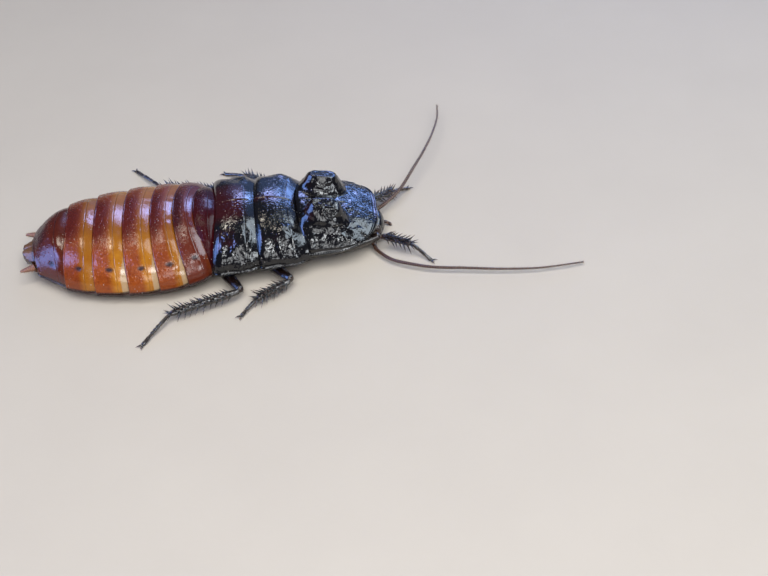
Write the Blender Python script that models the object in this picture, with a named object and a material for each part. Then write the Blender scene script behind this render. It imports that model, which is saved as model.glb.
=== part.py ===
"""A Madagascar hissing cockroach at life size: an adult male with two horns on its pronotum.

The model stands on a floor at z = 0, with its head towards +X and its left side towards +Y. Sizes below are
in millimetres and are turned into metres as each mesh is made. The origin is on the floor, under the flat of
the belly. Each body plate, leg piece, eye and feeler is its own closed solid. Neighbours face each other
across a small gap.
"""

import math
import random

import bpy
import numpy as np

MM = 0.001
GAP = 0.3

# Seams between the plates of the back, from the pronotum's rear edge to the last abdomen segment's.
# Each has its place on the midline, half width, height of the crest, height of the margin,
# and how far the margins lie ahead of the midline.
SEAMS = {
    "pronotum": dict(x=29.2, half=9.9, crest=9.8, edge=4.2, lean=0.8),
    "mesonotum": dict(x=21.7, half=12.4, crest=11.1, edge=4.2, lean=0.1),
    "metanotum": dict(x=14.6, half=12.8, crest=10.9, edge=4.2, lean=-0.9),
    "abdomen_1": dict(x=10.6, half=12.3, crest=10.9, edge=3.9, lean=2.7),
    "abdomen_2": dict(x=6.9, half=13.7, crest=10.6, edge=3.6, lean=2.3),
    "abdomen_3": dict(x=2.8, half=14.3, crest=10.4, edge=3.4, lean=1.4),
    "abdomen_4": dict(x=-2.1, half=14.0, crest=10.3, edge=3.3, lean=0.8),
    "abdomen_5": dict(x=-7.3, half=12.9, crest=10.2, edge=3.3, lean=0.0),
    "abdomen_6": dict(x=-12.4, half=10.7, crest=9.9, edge=3.4, lean=-0.3),
    "abdomen_7": dict(x=-19.0, half=6.5, crest=6.4, edge=3.8, lean=1.2),
}
PLATE_RIM = 0.6
ARCH_FULLNESS = (2.1, 0.425)

# Stations from a plate's front to its rear, and how far each lies above the straight line between the two seams.
# Every front is let in under the rear edge of the plate ahead.
ABDOMEN_STATIONS = (0.0, 0.14, 0.5, 0.9, 1.0)
ABDOMEN_SWELL = (-0.45, -0.12, 0.06, 0.1, -0.08)
ABDOMEN_LANES = 21
FIRST_SEGMENT_HALF = 10.3
LAST_SEGMENT_BULGE = 0.9
SHIELD_STATIONS = (0.0, 0.1, 0.35, 0.65, 0.92, 1.0)
SHIELD_SWELL = (-0.55, -0.2, 0.1, 0.1, 0.12, -0.1)
SHIELD_LANES = 23
SHIELD_FRONT_HALF = 11.6
SHIELD_BULGE = {"mesonotum": 0.35, "metanotum": 0.1}
MARGIN_SWELL_LIMIT = 0.1

# The belly's height along the body. It lies flat on the floor under segments 4 and 5.
BELLY = ((14.6, 3.6), (10.6, 3.1), (6.9, 1.6), (2.8, 0.2), (2.0, 0.0), (-7.3, 0.0), (-12.4, 0.7), (-19.0, 2.9))
BELLY_FLAT_SHARE = 0.45
BELLY_FLANK_POWER = 1.3

# Pronotum: a broad shield with a low raised front rim and two blunt horns.
# Its half width grows from the front over a share of its length and draws in a little at the rear.
PRONOTUM_STATIONS = (0.0, 0.05, 0.13, 0.22, 0.31, 0.36, 0.41, 0.46, 0.51, 0.58, 0.66, 0.74, 0.82, 0.9, 0.97, 1.0)
PRONOTUM_LANES = 25
PRONOTUM_FRONT = 43.8
PRONOTUM_FRONT_HALF = 7.65
PRONOTUM_FRONT_ROUNDING = (2.2, 3.6)
PRONOTUM_SWELL = 2.55
PRONOTUM_SWELL_SHARE = 0.7
PRONOTUM_REAR_TAPER = 0.2
PRONOTUM_RIM_RISE = 1.9
PRONOTUM_DOME = 5.8
PRONOTUM_DOME_POWER = 1.7
HORN_HEIGHT = 3.1
HORN_SIDE = 4.6
HORN_SPREAD = 2.7
HORN_SQUARENESS = 2.8
HORN_REAR = (29.3, 32.2)
HORN_FRONT = (36.9, 38.6)

# Under the three shields: height of their undersides on the midline and half width of that vault,
# then height of the thorax's floor and half width of the soft body.
CEILING = ((44.0, 5.4), (41.0, 5.6), (39.0, 5.9), (36.0, 6.5), (29.0, 7.3), (21.6, 8.6), (14.4, 8.2))
CEILING_HALF = ((44.0, 9.0), (31.0, 9.6), (22.0, 12.0), (14.0, 12.4))
THORAX_FLOOR = ((40.0, 2.8), (37.0, 3.2), (34.0, 3.5), (14.7, 3.6))
THORAX_HALF = ((40.0, 2.8), (37.0, 5.2), (31.0, 6.6), (24.0, 7.6), (14.7, 7.8))
THORAX_ENDS = (40.0, 14.75)
THORAX_FLANK_RISE = 0.5
THORAX_CLEARANCE = 0.35

# Head: axis from its crown to its mouth, and half widths and half depths along it.
HEAD_CROWN = (44.0, 0.0, 4.45)
HEAD_MOUTH = (41.2, 0.0, 0.75)
HEAD_SECTIONS = (
    (0.00, 1.3, 0.5),
    (0.08, 2.4, 1.2),
    (0.24, 3.3, 1.9),
    (0.42, 3.5, 2.15),
    (0.60, 3.1, 2.0),
    (0.70, 2.6, 1.8),
    (0.73, 2.35, 1.6),
    (0.77, 2.45, 1.65),
    (0.90, 2.0, 1.2),
    (1.00, 1.1, 0.6),
)
EYE_CENTRE = (43.2, 2.95, 3.55)
EYE_RADII = (0.95, 0.85, 1.25)

# Feelers leave the head low on its sides. The right one passes under the fore leg.
ANTENNAE = {
    "antenna_right": (
        (42.6, -3.3, 1.7), (42.5, -4.6, 1.45), (43.0, -6.4, 1.3), (45.0, -9.2, 1.4), (47.5, -10.9, 1.5),
        (52.2, -13.0, 1.6), (58.0, -14.2, 1.6), (64.0, -15.3, 1.5), (71.0, -15.9, 1.3), (79.0, -15.2, 1.0),
    ),
    "antenna_left": (
        (42.6, 3.3, 1.7), (43.2, 4.7, 1.8), (45.6, 5.7, 2.8), (48.5, 8.0, 3.9), (51.3, 12.4, 4.9),
        (54.2, 18.0, 5.3), (56.5, 24.0, 5.1), (58.0, 30.0, 4.4), (58.6, 36.0, 3.3),
    ),
}
ANTENNA_RADII = ((0.0, 0.5), (0.06, 0.55), (0.12, 0.42), (1.0, 0.27))
PALP = ((43.4, 2.6, 1.0), (44.3, 2.5, 1.15), (45.5, 2.3, 0.75), (46.1, 1.9, 0.45))
PALP_RADIUS = 0.3

# Legs: hip and end of the coxa, knee, ankle, and the way the foot lies to its toe on the floor.
LEGS = {
    "fore_right": dict(
        hip=(32.3, -3.5, 2.35), seat=(35.2, -6.2, 1.85), knee=(43.7, -5.4, 3.9), ankle=(49.1, -7.5, 3.0),
        toe=(52.3, -9.6, 0.42), thick=0.95, spines=4,
    ),
    "fore_left": dict(
        hip=(32.3, 3.5, 2.35), seat=(35.2, 6.2, 1.85), knee=(42.6, 6.3, 3.3), ankle=(47.2, 9.9, 2.2),
        toe=(50.2, 12.6, 0.42), thick=0.95, spines=4,
    ),
    "middle_right": dict(
        hip=(25.8, -3.3, 2.35), seat=(22.5, -6.7, 1.75), knee=(27.2, -13.9, 2.7), ankle=(20.8, -16.6, 1.45),
        toe=(18.0, -19.5, 0.42), thick=1.0, spines=5,
    ),
    "middle_left": dict(
        hip=(25.8, 3.3, 2.35), seat=(22.5, 6.7, 1.75), knee=(26.4, 14.3, 2.7), ankle=(19.5, 20.2, 1.8),
        toe=(15.4, 23.4, 0.42), thick=1.0, spines=5,
    ),
    "hind_right": dict(
        hip=(18.4, -3.4, 2.35), seat=(14.0, -6.5, 1.75), knee=(18.2, -15.3, 2.6), ankle=(5.7, -19.0, 2.1),
        toe=(0.9, -24.5, 0.42), thick=1.05, spines=7,
    ),
    "hind_left": dict(
        hip=(18.4, 3.4, 2.35), seat=(14.0, 6.5, 1.75), knee=(16.4, 15.2, 2.6), ankle=(3.3, 18.8, 2.1),
        toe=(-2.2, 27.4, 0.42), thick=1.05, spines=7,
    ),
}
# Sections of the limb pieces: share of the way, half width, half height. Those of femur and tibia are shares of
# the leg's thickness, up to the joints' own radii.
COXA_END_RADIUS = 0.75
KNEE_RADIUS = 0.78
ANKLE_RADIUS = 0.5
TOE_RADIUS = 0.47
COXA_SECTIONS = ((0.0, 1.5, 0.75), (0.35, 1.75, 0.85), (1.0, COXA_END_RADIUS, COXA_END_RADIUS))
FEMUR_ROOT_RADIUS = 0.6
FEMUR_BELLY = ((0.3, 1.0, 0.85), (0.75, 0.9, 0.8))
TIBIA_ROOT_RADIUS = 0.5
TIBIA_SHAFT = ((0.2, 0.68), (0.8, 0.66))
TARSUS_SECTIONS = ((0.0, 0.4), (0.6, 0.42), (1.0, TOE_RADIUS))
TARSUS_ARCH = (0.55, 0.12)

# Spines stand in rows round the tibia, each row at its own turn in degrees, with spurs round the ankle.
# A spur that points too much along the foot is left out.
SPINE_LENGTH = 1.9
SPINE_RADIUS = 0.27
SPINE_TIP_RADIUS = 0.07
SPINE_SINK = 0.35
SPINE_ROWS = (20.0, 75.0, 160.0, 215.0)
SPINE_REACH = (0.24, 0.96)
SPINE_LEAN = (0.55, 0.85)
SPINE_SCATTER = 12.0
SPINE_VARIETY = (0.75, 1.1)
SPINE_GROWTH = (0.8, 0.3)
SPUR_TURNS = (10.0, 60.0, 120.0, 170.0)
SPUR_LENGTH = 1.52
SPUR_FOOT_LIMIT = 0.62
CLAW_LENGTH = 1.0
CLAW_RADIUS = 0.26
CLAW_SPREAD = (0.85, 0.5)
CLAW_ROOT = (0.25, 0.15)

# Tail: the plate over the vent, whose rear edge has two lobes and a notch, and the two short cerci beside it.
TAIL_REAR = -21.15
TAIL_HALF = (3.5, 2.6)
TAIL_TOP = (5.9, 4.9)
TAIL_UNDER = (3.6, 3.9)
TAIL_LOBE = 0.9
TAIL_NOTCH = 0.25
CERCUS = ((-18.95, 4.75, 4.1), (-21.2, 5.4, 4.05))
CERCUS_SECTIONS = ((0.0, 0.75), (0.4, 0.55), (0.8, 0.35), (1.0, 0.25))

BLACK_SHELL = (0.012, 0.011, 0.014)
MAROON_SHELL = (0.07, 0.014, 0.010)
AMBER_SHELL = (0.34, 0.075, 0.014)
TAN_SHELL = (0.28, 0.13, 0.05)
PINK_SHELL = (0.45, 0.22, 0.15)
BROWN_FEELER = (0.10, 0.035, 0.018)
BLACK_EYE = (0.02, 0.008, 0.008)
UNDERSIDE_SHELL = (0.09, 0.03, 0.014)


def clear_scene():
    """Removes whatever the scene holds."""
    for item in list(bpy.data.objects):
        bpy.data.objects.remove(item, do_unlink=True)


def shell_material(name, colour, roughness):
    """A plain glossy shell material of one colour."""
    material = bpy.data.materials.get(name)
    if material is None:
        material = bpy.data.materials.new(name)
        material.use_nodes = True
        shader = material.node_tree.nodes["Principled BSDF"]
        shader.inputs["Base Color"].default_value = (*colour, 1.0)
        shader.inputs["Roughness"].default_value = roughness
        shader.inputs["Metallic"].default_value = 0.0
    return material


def add_mesh(name, points, faces, colour, roughness=0.3):
    """Makes one object from points in millimetres and faces, shaded smooth but for its sharp edges."""
    mesh = bpy.data.meshes.new(name)
    mesh.from_pydata((np.asarray(points, dtype=float) * MM).tolist(), [], faces)
    mesh.validate()
    mesh.shade_smooth()
    mesh.set_sharp_from_angle(angle=math.radians(40))
    mesh.materials.append(shell_material(name + "_shell", colour, roughness))
    part = bpy.data.objects.new(name, mesh)
    bpy.context.scene.collection.objects.link(part)
    return part


def smooth_step(value):
    """Rises from 0 to 1 as value goes from 0 to 1, with level ends."""
    held = np.clip(value, 0.0, 1.0)
    return held * held * (3.0 - 2.0 * held)


def along(table, x):
    """Reads a table of (x, value) rows at x, by straight lines between its rows."""
    rows = sorted(table)
    return np.interp(x, [row[0] for row in rows], [row[1] for row in rows])


def arch(u):
    """The cross section of the back: 1 on the midline, 0 at the margins, with full shoulders."""
    power, fullness = ARCH_FULLNESS
    return (1.0 - np.minimum(np.abs(u), 1.0) ** power) ** fullness


def side_lanes(count):
    """Places across a plate from -1 to 1, closer together towards the margins."""
    return -np.cos(np.pi * np.arange(count) / (count - 1))


def slab(name, x, y, top, under, colour, roughness=0.3):
    """A closed plate from four grids: rows run along the body, columns across it from right to left."""
    rows, lanes = x.shape
    count = rows * lanes
    points = np.concatenate([
        np.stack([x, y, top], -1).reshape(-1, 3),
        np.stack([x, y, under], -1).reshape(-1, 3),
    ])

    def at(row, lane, layer):
        return layer * count + row * lanes + lane

    faces = []
    for i in range(rows - 1):
        for j in range(lanes - 1):
            faces.append((at(i, j, 0), at(i, j + 1, 0), at(i + 1, j + 1, 0), at(i + 1, j, 0)))
            faces.append((at(i, j, 1), at(i + 1, j, 1), at(i + 1, j + 1, 1), at(i, j + 1, 1)))
    for j in range(lanes - 1):
        faces.append((at(0, j, 1), at(0, j + 1, 1), at(0, j + 1, 0), at(0, j, 0)))
        faces.append((at(rows - 1, j, 0), at(rows - 1, j + 1, 0), at(rows - 1, j + 1, 1), at(rows - 1, j, 1)))
    for i in range(rows - 1):
        faces.append((at(i, 0, 0), at(i + 1, 0, 0), at(i + 1, 0, 1), at(i, 0, 1)))
        faces.append((at(i, lanes - 1, 1), at(i + 1, lanes - 1, 1), at(i + 1, lanes - 1, 0), at(i, lanes - 1, 0)))
    return add_mesh(name, points, faces, colour, roughness)


def seam_x(seam, y):
    """Where a seam lies at a distance y from the midline."""
    return seam["x"] + seam["lean"] * (y / seam["half"]) ** 2


def pronotum_margin(x):
    """Height of the pronotum's margin, which rises towards the head."""
    reach = np.clip((x - SEAMS["pronotum"]["x"]) / (PRONOTUM_FRONT - SEAMS["pronotum"]["x"]), 0.0, 1.0)
    return SEAMS["pronotum"]["edge"] + PRONOTUM_RIM_RISE * reach ** 2


def ceiling(x, y):
    """Underside of the three shields: a low vault that comes down to their margins."""
    margin = pronotum_margin(x) - PLATE_RIM
    return margin + (along(CEILING, x) - margin) * np.maximum(1.0 - (y / along(CEILING_HALF, x)) ** 2, 0.0)


def plate_between(name, front, rear, stations, swell, lanes, colour, half=None, under=None, bulge=0.0):
    """One plate of the back between two seams.

    At each station the crest and half width run from the front seam's to the rear seam's, plus the swell there.
    """
    s = np.asarray(stations)[:, None]
    rise = np.asarray(swell)[:, None]
    u = side_lanes(lanes)[None, :]
    width = (half if half else (1 - s) * front["half"] + s * rear["half"]) + np.minimum(rise, MARGIN_SWELL_LIMIT)
    y = width * u
    x = (1 - s) * (seam_x(front, y) - GAP / 2) + s * (seam_x(rear, y) + GAP / 2)
    edge = (1 - s) * front["edge"] + s * rear["edge"]
    crest = (1 - s) * front["crest"] + s * rear["crest"] + rise + bulge * np.sin(np.pi * s)
    top = edge + (crest - edge) * arch(u)
    if under is None:
        flank = smooth_step((np.abs(u) - BELLY_FLAT_SHARE) / (1.0 - BELLY_FLAT_SHARE)) ** BELLY_FLANK_POWER
        belly = along(BELLY, x)
        bottom = np.maximum(belly + (edge - PLATE_RIM - belly) * flank, 0.0)
    else:
        bottom = under(x, y)
    return slab(name, x, y, top, np.minimum(bottom, top - PLATE_RIM), colour)


def horn_rise(x, y):
    """Height that the two blunt horns add: a gentle slope behind, a flat top and a steep front."""
    fore_aft = smooth_step((x - HORN_REAR[0]) / (HORN_REAR[1] - HORN_REAR[0]))
    fore_aft = fore_aft * (1.0 - smooth_step((x - HORN_FRONT[0]) / (HORN_FRONT[1] - HORN_FRONT[0])))
    across = np.exp(-(np.abs(np.abs(y) - HORN_SIDE) / HORN_SPREAD) ** HORN_SQUARENESS)
    return HORN_HEIGHT * fore_aft * across


def make_pronotum():
    """The head shield. Stations lie closer together over the horns' fronts."""
    rear = SEAMS["pronotum"]
    s = np.array(PRONOTUM_STATIONS)[:, None]
    even = np.linspace(-1.0, 1.0, PRONOTUM_LANES)
    u = ((even + side_lanes(PRONOTUM_LANES)) / 2)[None, :]
    swell = 1.0 - (1.0 - np.minimum(s / PRONOTUM_SWELL_SHARE, 1.0)) ** 3
    taper = smooth_step((s - PRONOTUM_SWELL_SHARE) / (1.0 - PRONOTUM_SWELL_SHARE))
    y = (PRONOTUM_FRONT_HALF + PRONOTUM_SWELL * swell - PRONOTUM_REAR_TAPER * taper) * u
    rounding, power = PRONOTUM_FRONT_ROUNDING
    front_x = PRONOTUM_FRONT - rounding * np.abs(u) ** power
    x = (1 - s) * front_x + s * (seam_x(rear, y) + GAP / 2)
    dome = PRONOTUM_DOME * (1.0 - (1.0 - s) ** PRONOTUM_DOME_POWER)
    top = pronotum_margin(x) + dome * arch(u) + horn_rise(x, y)
    under = np.minimum(ceiling(x, y), top - PLATE_RIM)
    return slab("pronotum", x, y, top, under, BLACK_SHELL, 0.25)


def make_thorax_shields():
    """The two shields behind the pronotum, each a little lower at its front, where the one ahead covers it."""
    for name, ahead, colour in (("mesonotum", "pronotum", BLACK_SHELL), ("metanotum", "mesonotum", MAROON_SHELL)):
        front = dict(SEAMS[ahead], half=max(SEAMS[ahead]["half"], SHIELD_FRONT_HALF))
        front["lean"] = SEAMS[ahead]["lean"] * (front["half"] / SEAMS[ahead]["half"]) ** 2
        front["edge"] = SEAMS[name]["edge"]
        plate_between(
            name, front, SEAMS[name], SHIELD_STATIONS, SHIELD_SWELL, SHIELD_LANES, colour, under=ceiling,
            bulge=SHIELD_BULGE[name],
        )


def make_abdomen():
    """Seven segments, each with its back plate's rear edge standing over the next one's front."""
    names = list(SEAMS)
    for index in range(1, 8):
        name = "abdomen_%d" % index
        front = SEAMS[names[names.index(name) - 1]]
        plate_between(
            name, front, SEAMS[name], ABDOMEN_STATIONS, ABDOMEN_SWELL, ABDOMEN_LANES,
            MAROON_SHELL if index < 3 else AMBER_SHELL,
            half=FIRST_SEGMENT_HALF if index == 1 else None,
            bulge=LAST_SEGMENT_BULGE if index == 7 else 0.0,
        )


def make_thorax_underside():
    """The body under the shields, which carries the legs. It follows the vault of the shields, a gap below it."""
    x = np.linspace(*THORAX_ENDS, 9)[:, None]
    u = side_lanes(11)[None, :]
    y = along(THORAX_HALF, x) * u
    x = x + 0.0 * u
    top = ceiling(x, y) - THORAX_CLEARANCE
    under = along(THORAX_FLOOR, x) + THORAX_FLANK_RISE * u ** 4
    return slab("thorax_underside", x, y, top, under, UNDERSIDE_SHELL, 0.45)


def make_tail():
    """The plate over the vent, notched behind into two lobes, and the pair of cerci."""
    s = np.array([0.0, 0.3, 0.7, 1.0])[:, None]
    u = side_lanes(11)[None, :]
    y = ((1 - s) * TAIL_HALF[0] + s * TAIL_HALF[1]) * u
    rear_edge = TAIL_REAR + TAIL_LOBE * np.abs(u) ** 2.5 - TAIL_NOTCH * np.exp(-(u / 0.25) ** 2)
    front_edge = seam_x(SEAMS["abdomen_7"], y) - GAP / 2
    x = (1 - s) * front_edge + s * rear_edge
    top = (1 - s) * TAIL_TOP[0] + s * TAIL_TOP[1] - 0.9 * u ** 2
    under = (1 - s) * TAIL_UNDER[0] + s * TAIL_UNDER[1] + 0.3 * u ** 2
    slab("supra_anal_plate", x, y, top, np.minimum(under, top - 0.5), TAN_SHELL, 0.35)
    for side, sign in (("left", 1), ("right", -1)):
        tube("cercus_" + side, [mirrored(point, sign) for point in CERCUS], CERCUS_SECTIONS, 8, PINK_SHELL)


def mirrored(point, sign):
    """A point on the left of the body, moved to the right where sign is -1."""
    return (point[0], point[1] * sign, point[2])


def smooth_path(points, steps):
    """A curve through the points: each stretch is a Hermite cubic whose slopes come from the points beside it."""
    given = np.asarray(points, dtype=float)
    if len(given) == 2:
        shares = np.linspace(0.0, 1.0, steps + 1)[:, None]
        return given[0] * (1 - shares) + given[1] * shares
    slopes = np.gradient(given, axis=0)
    curve = []
    for a, b, slope_a, slope_b in zip(given[:-1], given[1:], slopes[:-1], slopes[1:]):
        for h in np.arange(steps) / steps:
            curve.append(
                a * (2 * h ** 3 - 3 * h ** 2 + 1) + slope_a * (h ** 3 - 2 * h ** 2 + h)
                + b * (3 * h ** 2 - 2 * h ** 3) + slope_b * (h ** 3 - h ** 2)
            )
    curve.append(given[-1])
    return np.array(curve)


def frames_along(curve):
    """Unit directions along a curve, to its left and level with the floor, and upwards from both."""
    ahead = np.gradient(curve, axis=0)
    ahead = ahead / np.linalg.norm(ahead, axis=1)[:, None]
    side = np.cross((0.0, 0.0, 1.0), ahead)
    steep = np.linalg.norm(side, axis=1) < 1e-6
    side[steep] = (0.0, 1.0, 0.0)
    side = side / np.linalg.norm(side, axis=1)[:, None]
    return ahead, side, np.cross(ahead, side)


def tube_grid(curve, half_widths, half_heights, sides, round_end):
    """Rings of points about a curve, with a few shrinking rings past its end where that end is round."""
    ahead, side, up = frames_along(curve)
    centres = list(curve)
    widths = list(half_widths)
    heights = list(half_heights)
    if round_end:
        tip = min(widths[-1], heights[-1])
        for angle in (30.0, 60.0, 80.0):
            centres.append(curve[-1] + ahead[-1] * tip * math.sin(math.radians(angle)))
            widths.append(half_widths[-1] * math.cos(math.radians(angle)))
            heights.append(half_heights[-1] * math.cos(math.radians(angle)))
        ahead, side, up = (np.vstack([axis, np.repeat(axis[-1:], 3, axis=0)]) for axis in (ahead, side, up))
    turn = 2 * np.pi * np.arange(sides) / sides
    rings = (
        np.array(centres)[:, None, :]
        + side[:, None, :] * (np.array(widths)[:, None] * np.cos(turn))[:, :, None]
        + up[:, None, :] * (np.array(heights)[:, None] * np.sin(turn))[:, :, None]
    )
    return rings


def tube_mesh(name, rings, colour, roughness):
    """A closed object from rings of points, with a flat face at each end. Nothing lies below the floor."""
    count, sides, _ = rings.shape
    points = rings.reshape(-1, 3).copy()
    points[:, 2] = np.maximum(points[:, 2], 0.0)
    faces = []
    for i in range(count - 1):
        for j in range(sides):
            k = (j + 1) % sides
            faces.append((i * sides + j, i * sides + k, (i + 1) * sides + k, (i + 1) * sides + j))
    faces.append(tuple(reversed(range(sides))))
    faces.append(tuple((count - 1) * sides + j for j in range(sides)))
    return add_mesh(name, points, faces, colour, roughness)


def tube(name, points, sections, sides, colour, steps=4, round_end=True, roughness=0.3):
    """A limb piece along a path. Sections are (share of the way, half width[, half height])."""
    curve = smooth_path(points, steps)
    shares = np.linspace(0.0, 1.0, len(curve))
    marks = [section[0] for section in sections]
    widths = np.interp(shares, marks, [section[1] for section in sections])
    heights = np.interp(shares, marks, [section[-1] for section in sections])
    return tube_mesh(name, tube_grid(curve, widths, heights, sides, round_end), colour, roughness)


def ellipsoid(name, centre, radii, colour, rows=8, sides=12, roughness=0.15):
    """An egg-shaped solid: rings of points from its lower pole to its upper one."""
    heights = -np.cos(np.pi * (np.arange(rows) + 0.5) / rows)
    rings = []
    for height in heights:
        reach = math.sqrt(1.0 - height * height)
        turn = 2 * np.pi * np.arange(sides) / sides
        ring = np.stack([
            centre[0] + radii[0] * reach * np.cos(turn),
            centre[1] + radii[1] * reach * np.sin(turn),
            centre[2] + radii[2] * height + 0.0 * turn,
        ], -1)
        rings.append(ring)
    return tube_mesh(name, np.array(rings), colour, roughness)


def boolean(part, operation, others):
    """Joins or cuts a part with a collection of closed solids, then removes that collection's objects."""
    group = bpy.data.collections.new(part.name + "_helpers")
    bpy.context.scene.collection.children.link(group)
    for other in others:
        bpy.context.scene.collection.objects.unlink(other)
        group.objects.link(other)
        other.hide_render = True
        other.display_type = "WIRE"
    modifier = part.modifiers.new("joined", "BOOLEAN")
    modifier.operation = operation
    modifier.solver = "EXACT"
    modifier.operand_type = "COLLECTION"
    modifier.collection = group
    bpy.context.view_layer.update()
    evaluated = part.evaluated_get(bpy.context.evaluated_depsgraph_get())
    joined = bpy.data.meshes.new_from_object(evaluated)
    part.modifiers.clear()
    material = part.data.materials[0]
    part.data = joined
    joined.materials.clear()
    joined.materials.append(material)
    for other in others:
        bpy.data.objects.remove(other, do_unlink=True)
    bpy.data.collections.remove(group)
    keep_largest_surface(part)


def keep_largest_surface(part):
    """Drops every loose scrap of a mesh but the surface that spans the most room."""
    mesh = part.data
    owner = list(range(len(mesh.vertices)))

    def root(index):
        while owner[index] != index:
            owner[index] = owner[owner[index]]
            index = owner[index]
        return index

    for edge in mesh.edges:
        a, b = root(edge.vertices[0]), root(edge.vertices[1])
        owner[a] = b
    groups = {}
    for polygon in mesh.polygons:
        groups.setdefault(root(polygon.vertices[0]), []).append(polygon)

    def span(polygons):
        places = np.array([mesh.vertices[v].co for polygon in polygons for v in polygon.vertices])
        return float(np.prod(np.ptp(places, axis=0) + 1e-6))

    kept = max(groups.values(), key=span)
    used = sorted({v for polygon in kept for v in polygon.vertices})
    renumber = {old: new for new, old in enumerate(used)}
    points = [tuple(mesh.vertices[v].co) for v in used]
    faces = [tuple(renumber[v] for v in polygon.vertices) for polygon in kept]
    material = mesh.materials[0]
    mesh.clear_geometry()
    mesh.from_pydata(points, [], faces)
    mesh.materials.clear()
    mesh.materials.append(material)
    mesh.shade_smooth()
    mesh.set_sharp_from_angle(angle=math.radians(40))


def spine(name, root, direction, length, radius):
    """A thin four-sided spine, its root end sunk in the limb that carries it."""
    curve = np.array([root - direction * SPINE_SINK, root + direction * length])
    taper = np.array([radius, SPINE_TIP_RADIUS])
    return tube_mesh(name, tube_grid(curve, taper, taper, 4, False), BLACK_SHELL, 0.3)


def make_head():
    """The head hangs under the front rim of the pronotum with its face forwards, an eye sunk in each side."""
    crown, mouth = np.array(HEAD_CROWN), np.array(HEAD_MOUTH)
    shares = np.array([section[0] for section in HEAD_SECTIONS])[:, None]
    curve = crown * (1 - shares) + mouth * shares
    widths = [section[1] for section in HEAD_SECTIONS]
    depths = [section[2] for section in HEAD_SECTIONS]
    head = tube_mesh("head", tube_grid(curve, widths, depths, 20, False), BLACK_SHELL, 0.25)
    sockets = []
    for side, sign in (("left", 1), ("right", -1)):
        centre = mirrored(EYE_CENTRE, sign)
        ellipsoid("eye_" + side, centre, EYE_RADII, BLACK_EYE)
        sockets.append(ellipsoid("socket_" + side, centre, [r + GAP for r in EYE_RADII], BLACK_EYE))
    boolean(head, "DIFFERENCE", sockets)
    for side, sign in (("left", 1), ("right", -1)):
        sections = [(0.0, PALP_RADIUS), (0.7, PALP_RADIUS), (1.0, PALP_RADIUS * 0.85)]
        tube("palp_" + side, [mirrored(point, sign) for point in PALP], sections, 7, BROWN_FEELER, steps=2)


def make_antennae():
    """Each feeler in two lengths, cut square where they meet, thinning from a stout root to its tip."""
    for name, route in ANTENNAE.items():
        curve = smooth_path(route, 3)
        radii = along(ANTENNA_RADII, np.linspace(0.0, 1.0, len(curve)))
        split = len(curve) // 2
        first, second = curve[:split + 1].copy(), curve[split:].copy()
        step = second[1] - second[0]
        second[0] = second[0] + step / np.linalg.norm(step) * GAP
        inner, outer = radii[:split + 1], radii[split:]
        tube_mesh(name + "_1", tube_grid(first, inner, inner, 6, False), BROWN_FEELER, 0.4)
        tube_mesh(name + "_2", tube_grid(second, outer, outer, 6, True), BROWN_FEELER, 0.4)


def unit(direction):
    """The direction at length 1."""
    return direction / np.linalg.norm(direction)


def beyond(point, target, distance):
    """The point a distance from one place on the way to another."""
    return point + unit(target - point) * distance


def tibia_spines(name, start, end, toe, radius, per_row, draw):
    """Rows of spines down a tibia, leaning towards the foot, and spurs at its end, clear of the foot."""
    ahead, side, up = (axis[0] for axis in frames_along(np.array([start, end])))
    spines = []
    for row, turn in enumerate(SPINE_ROWS):
        for k in range(per_row):
            share = SPINE_REACH[0] + (SPINE_REACH[1] - SPINE_REACH[0]) * (k + 0.5 * (row % 2)) / per_row
            angle = math.radians(turn + draw.uniform(-SPINE_SCATTER, SPINE_SCATTER))
            outward = side * math.cos(angle) + up * math.sin(angle)
            root = start * (1 - share) + end * share + outward * radius * 0.6
            direction = unit(outward + ahead * draw.uniform(*SPINE_LEAN))
            length = SPINE_LENGTH * draw.uniform(*SPINE_VARIETY) * (SPINE_GROWTH[0] + SPINE_GROWTH[1] * share)
            spines.append((root, direction, length))
    foot = unit(toe - end)
    for turn in SPUR_TURNS:
        outward = side * math.cos(math.radians(turn)) + up * math.sin(math.radians(turn))
        direction = unit(outward + ahead)
        if direction @ foot < SPUR_FOOT_LIMIT:
            spines.append((end + outward * radius * 0.3, direction, SPUR_LENGTH))
    return [
        spine("%s_spine_%d" % (name, k), root, direction, length, SPINE_RADIUS)
        for k, (root, direction, length) in enumerate(spines)
    ]


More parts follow.
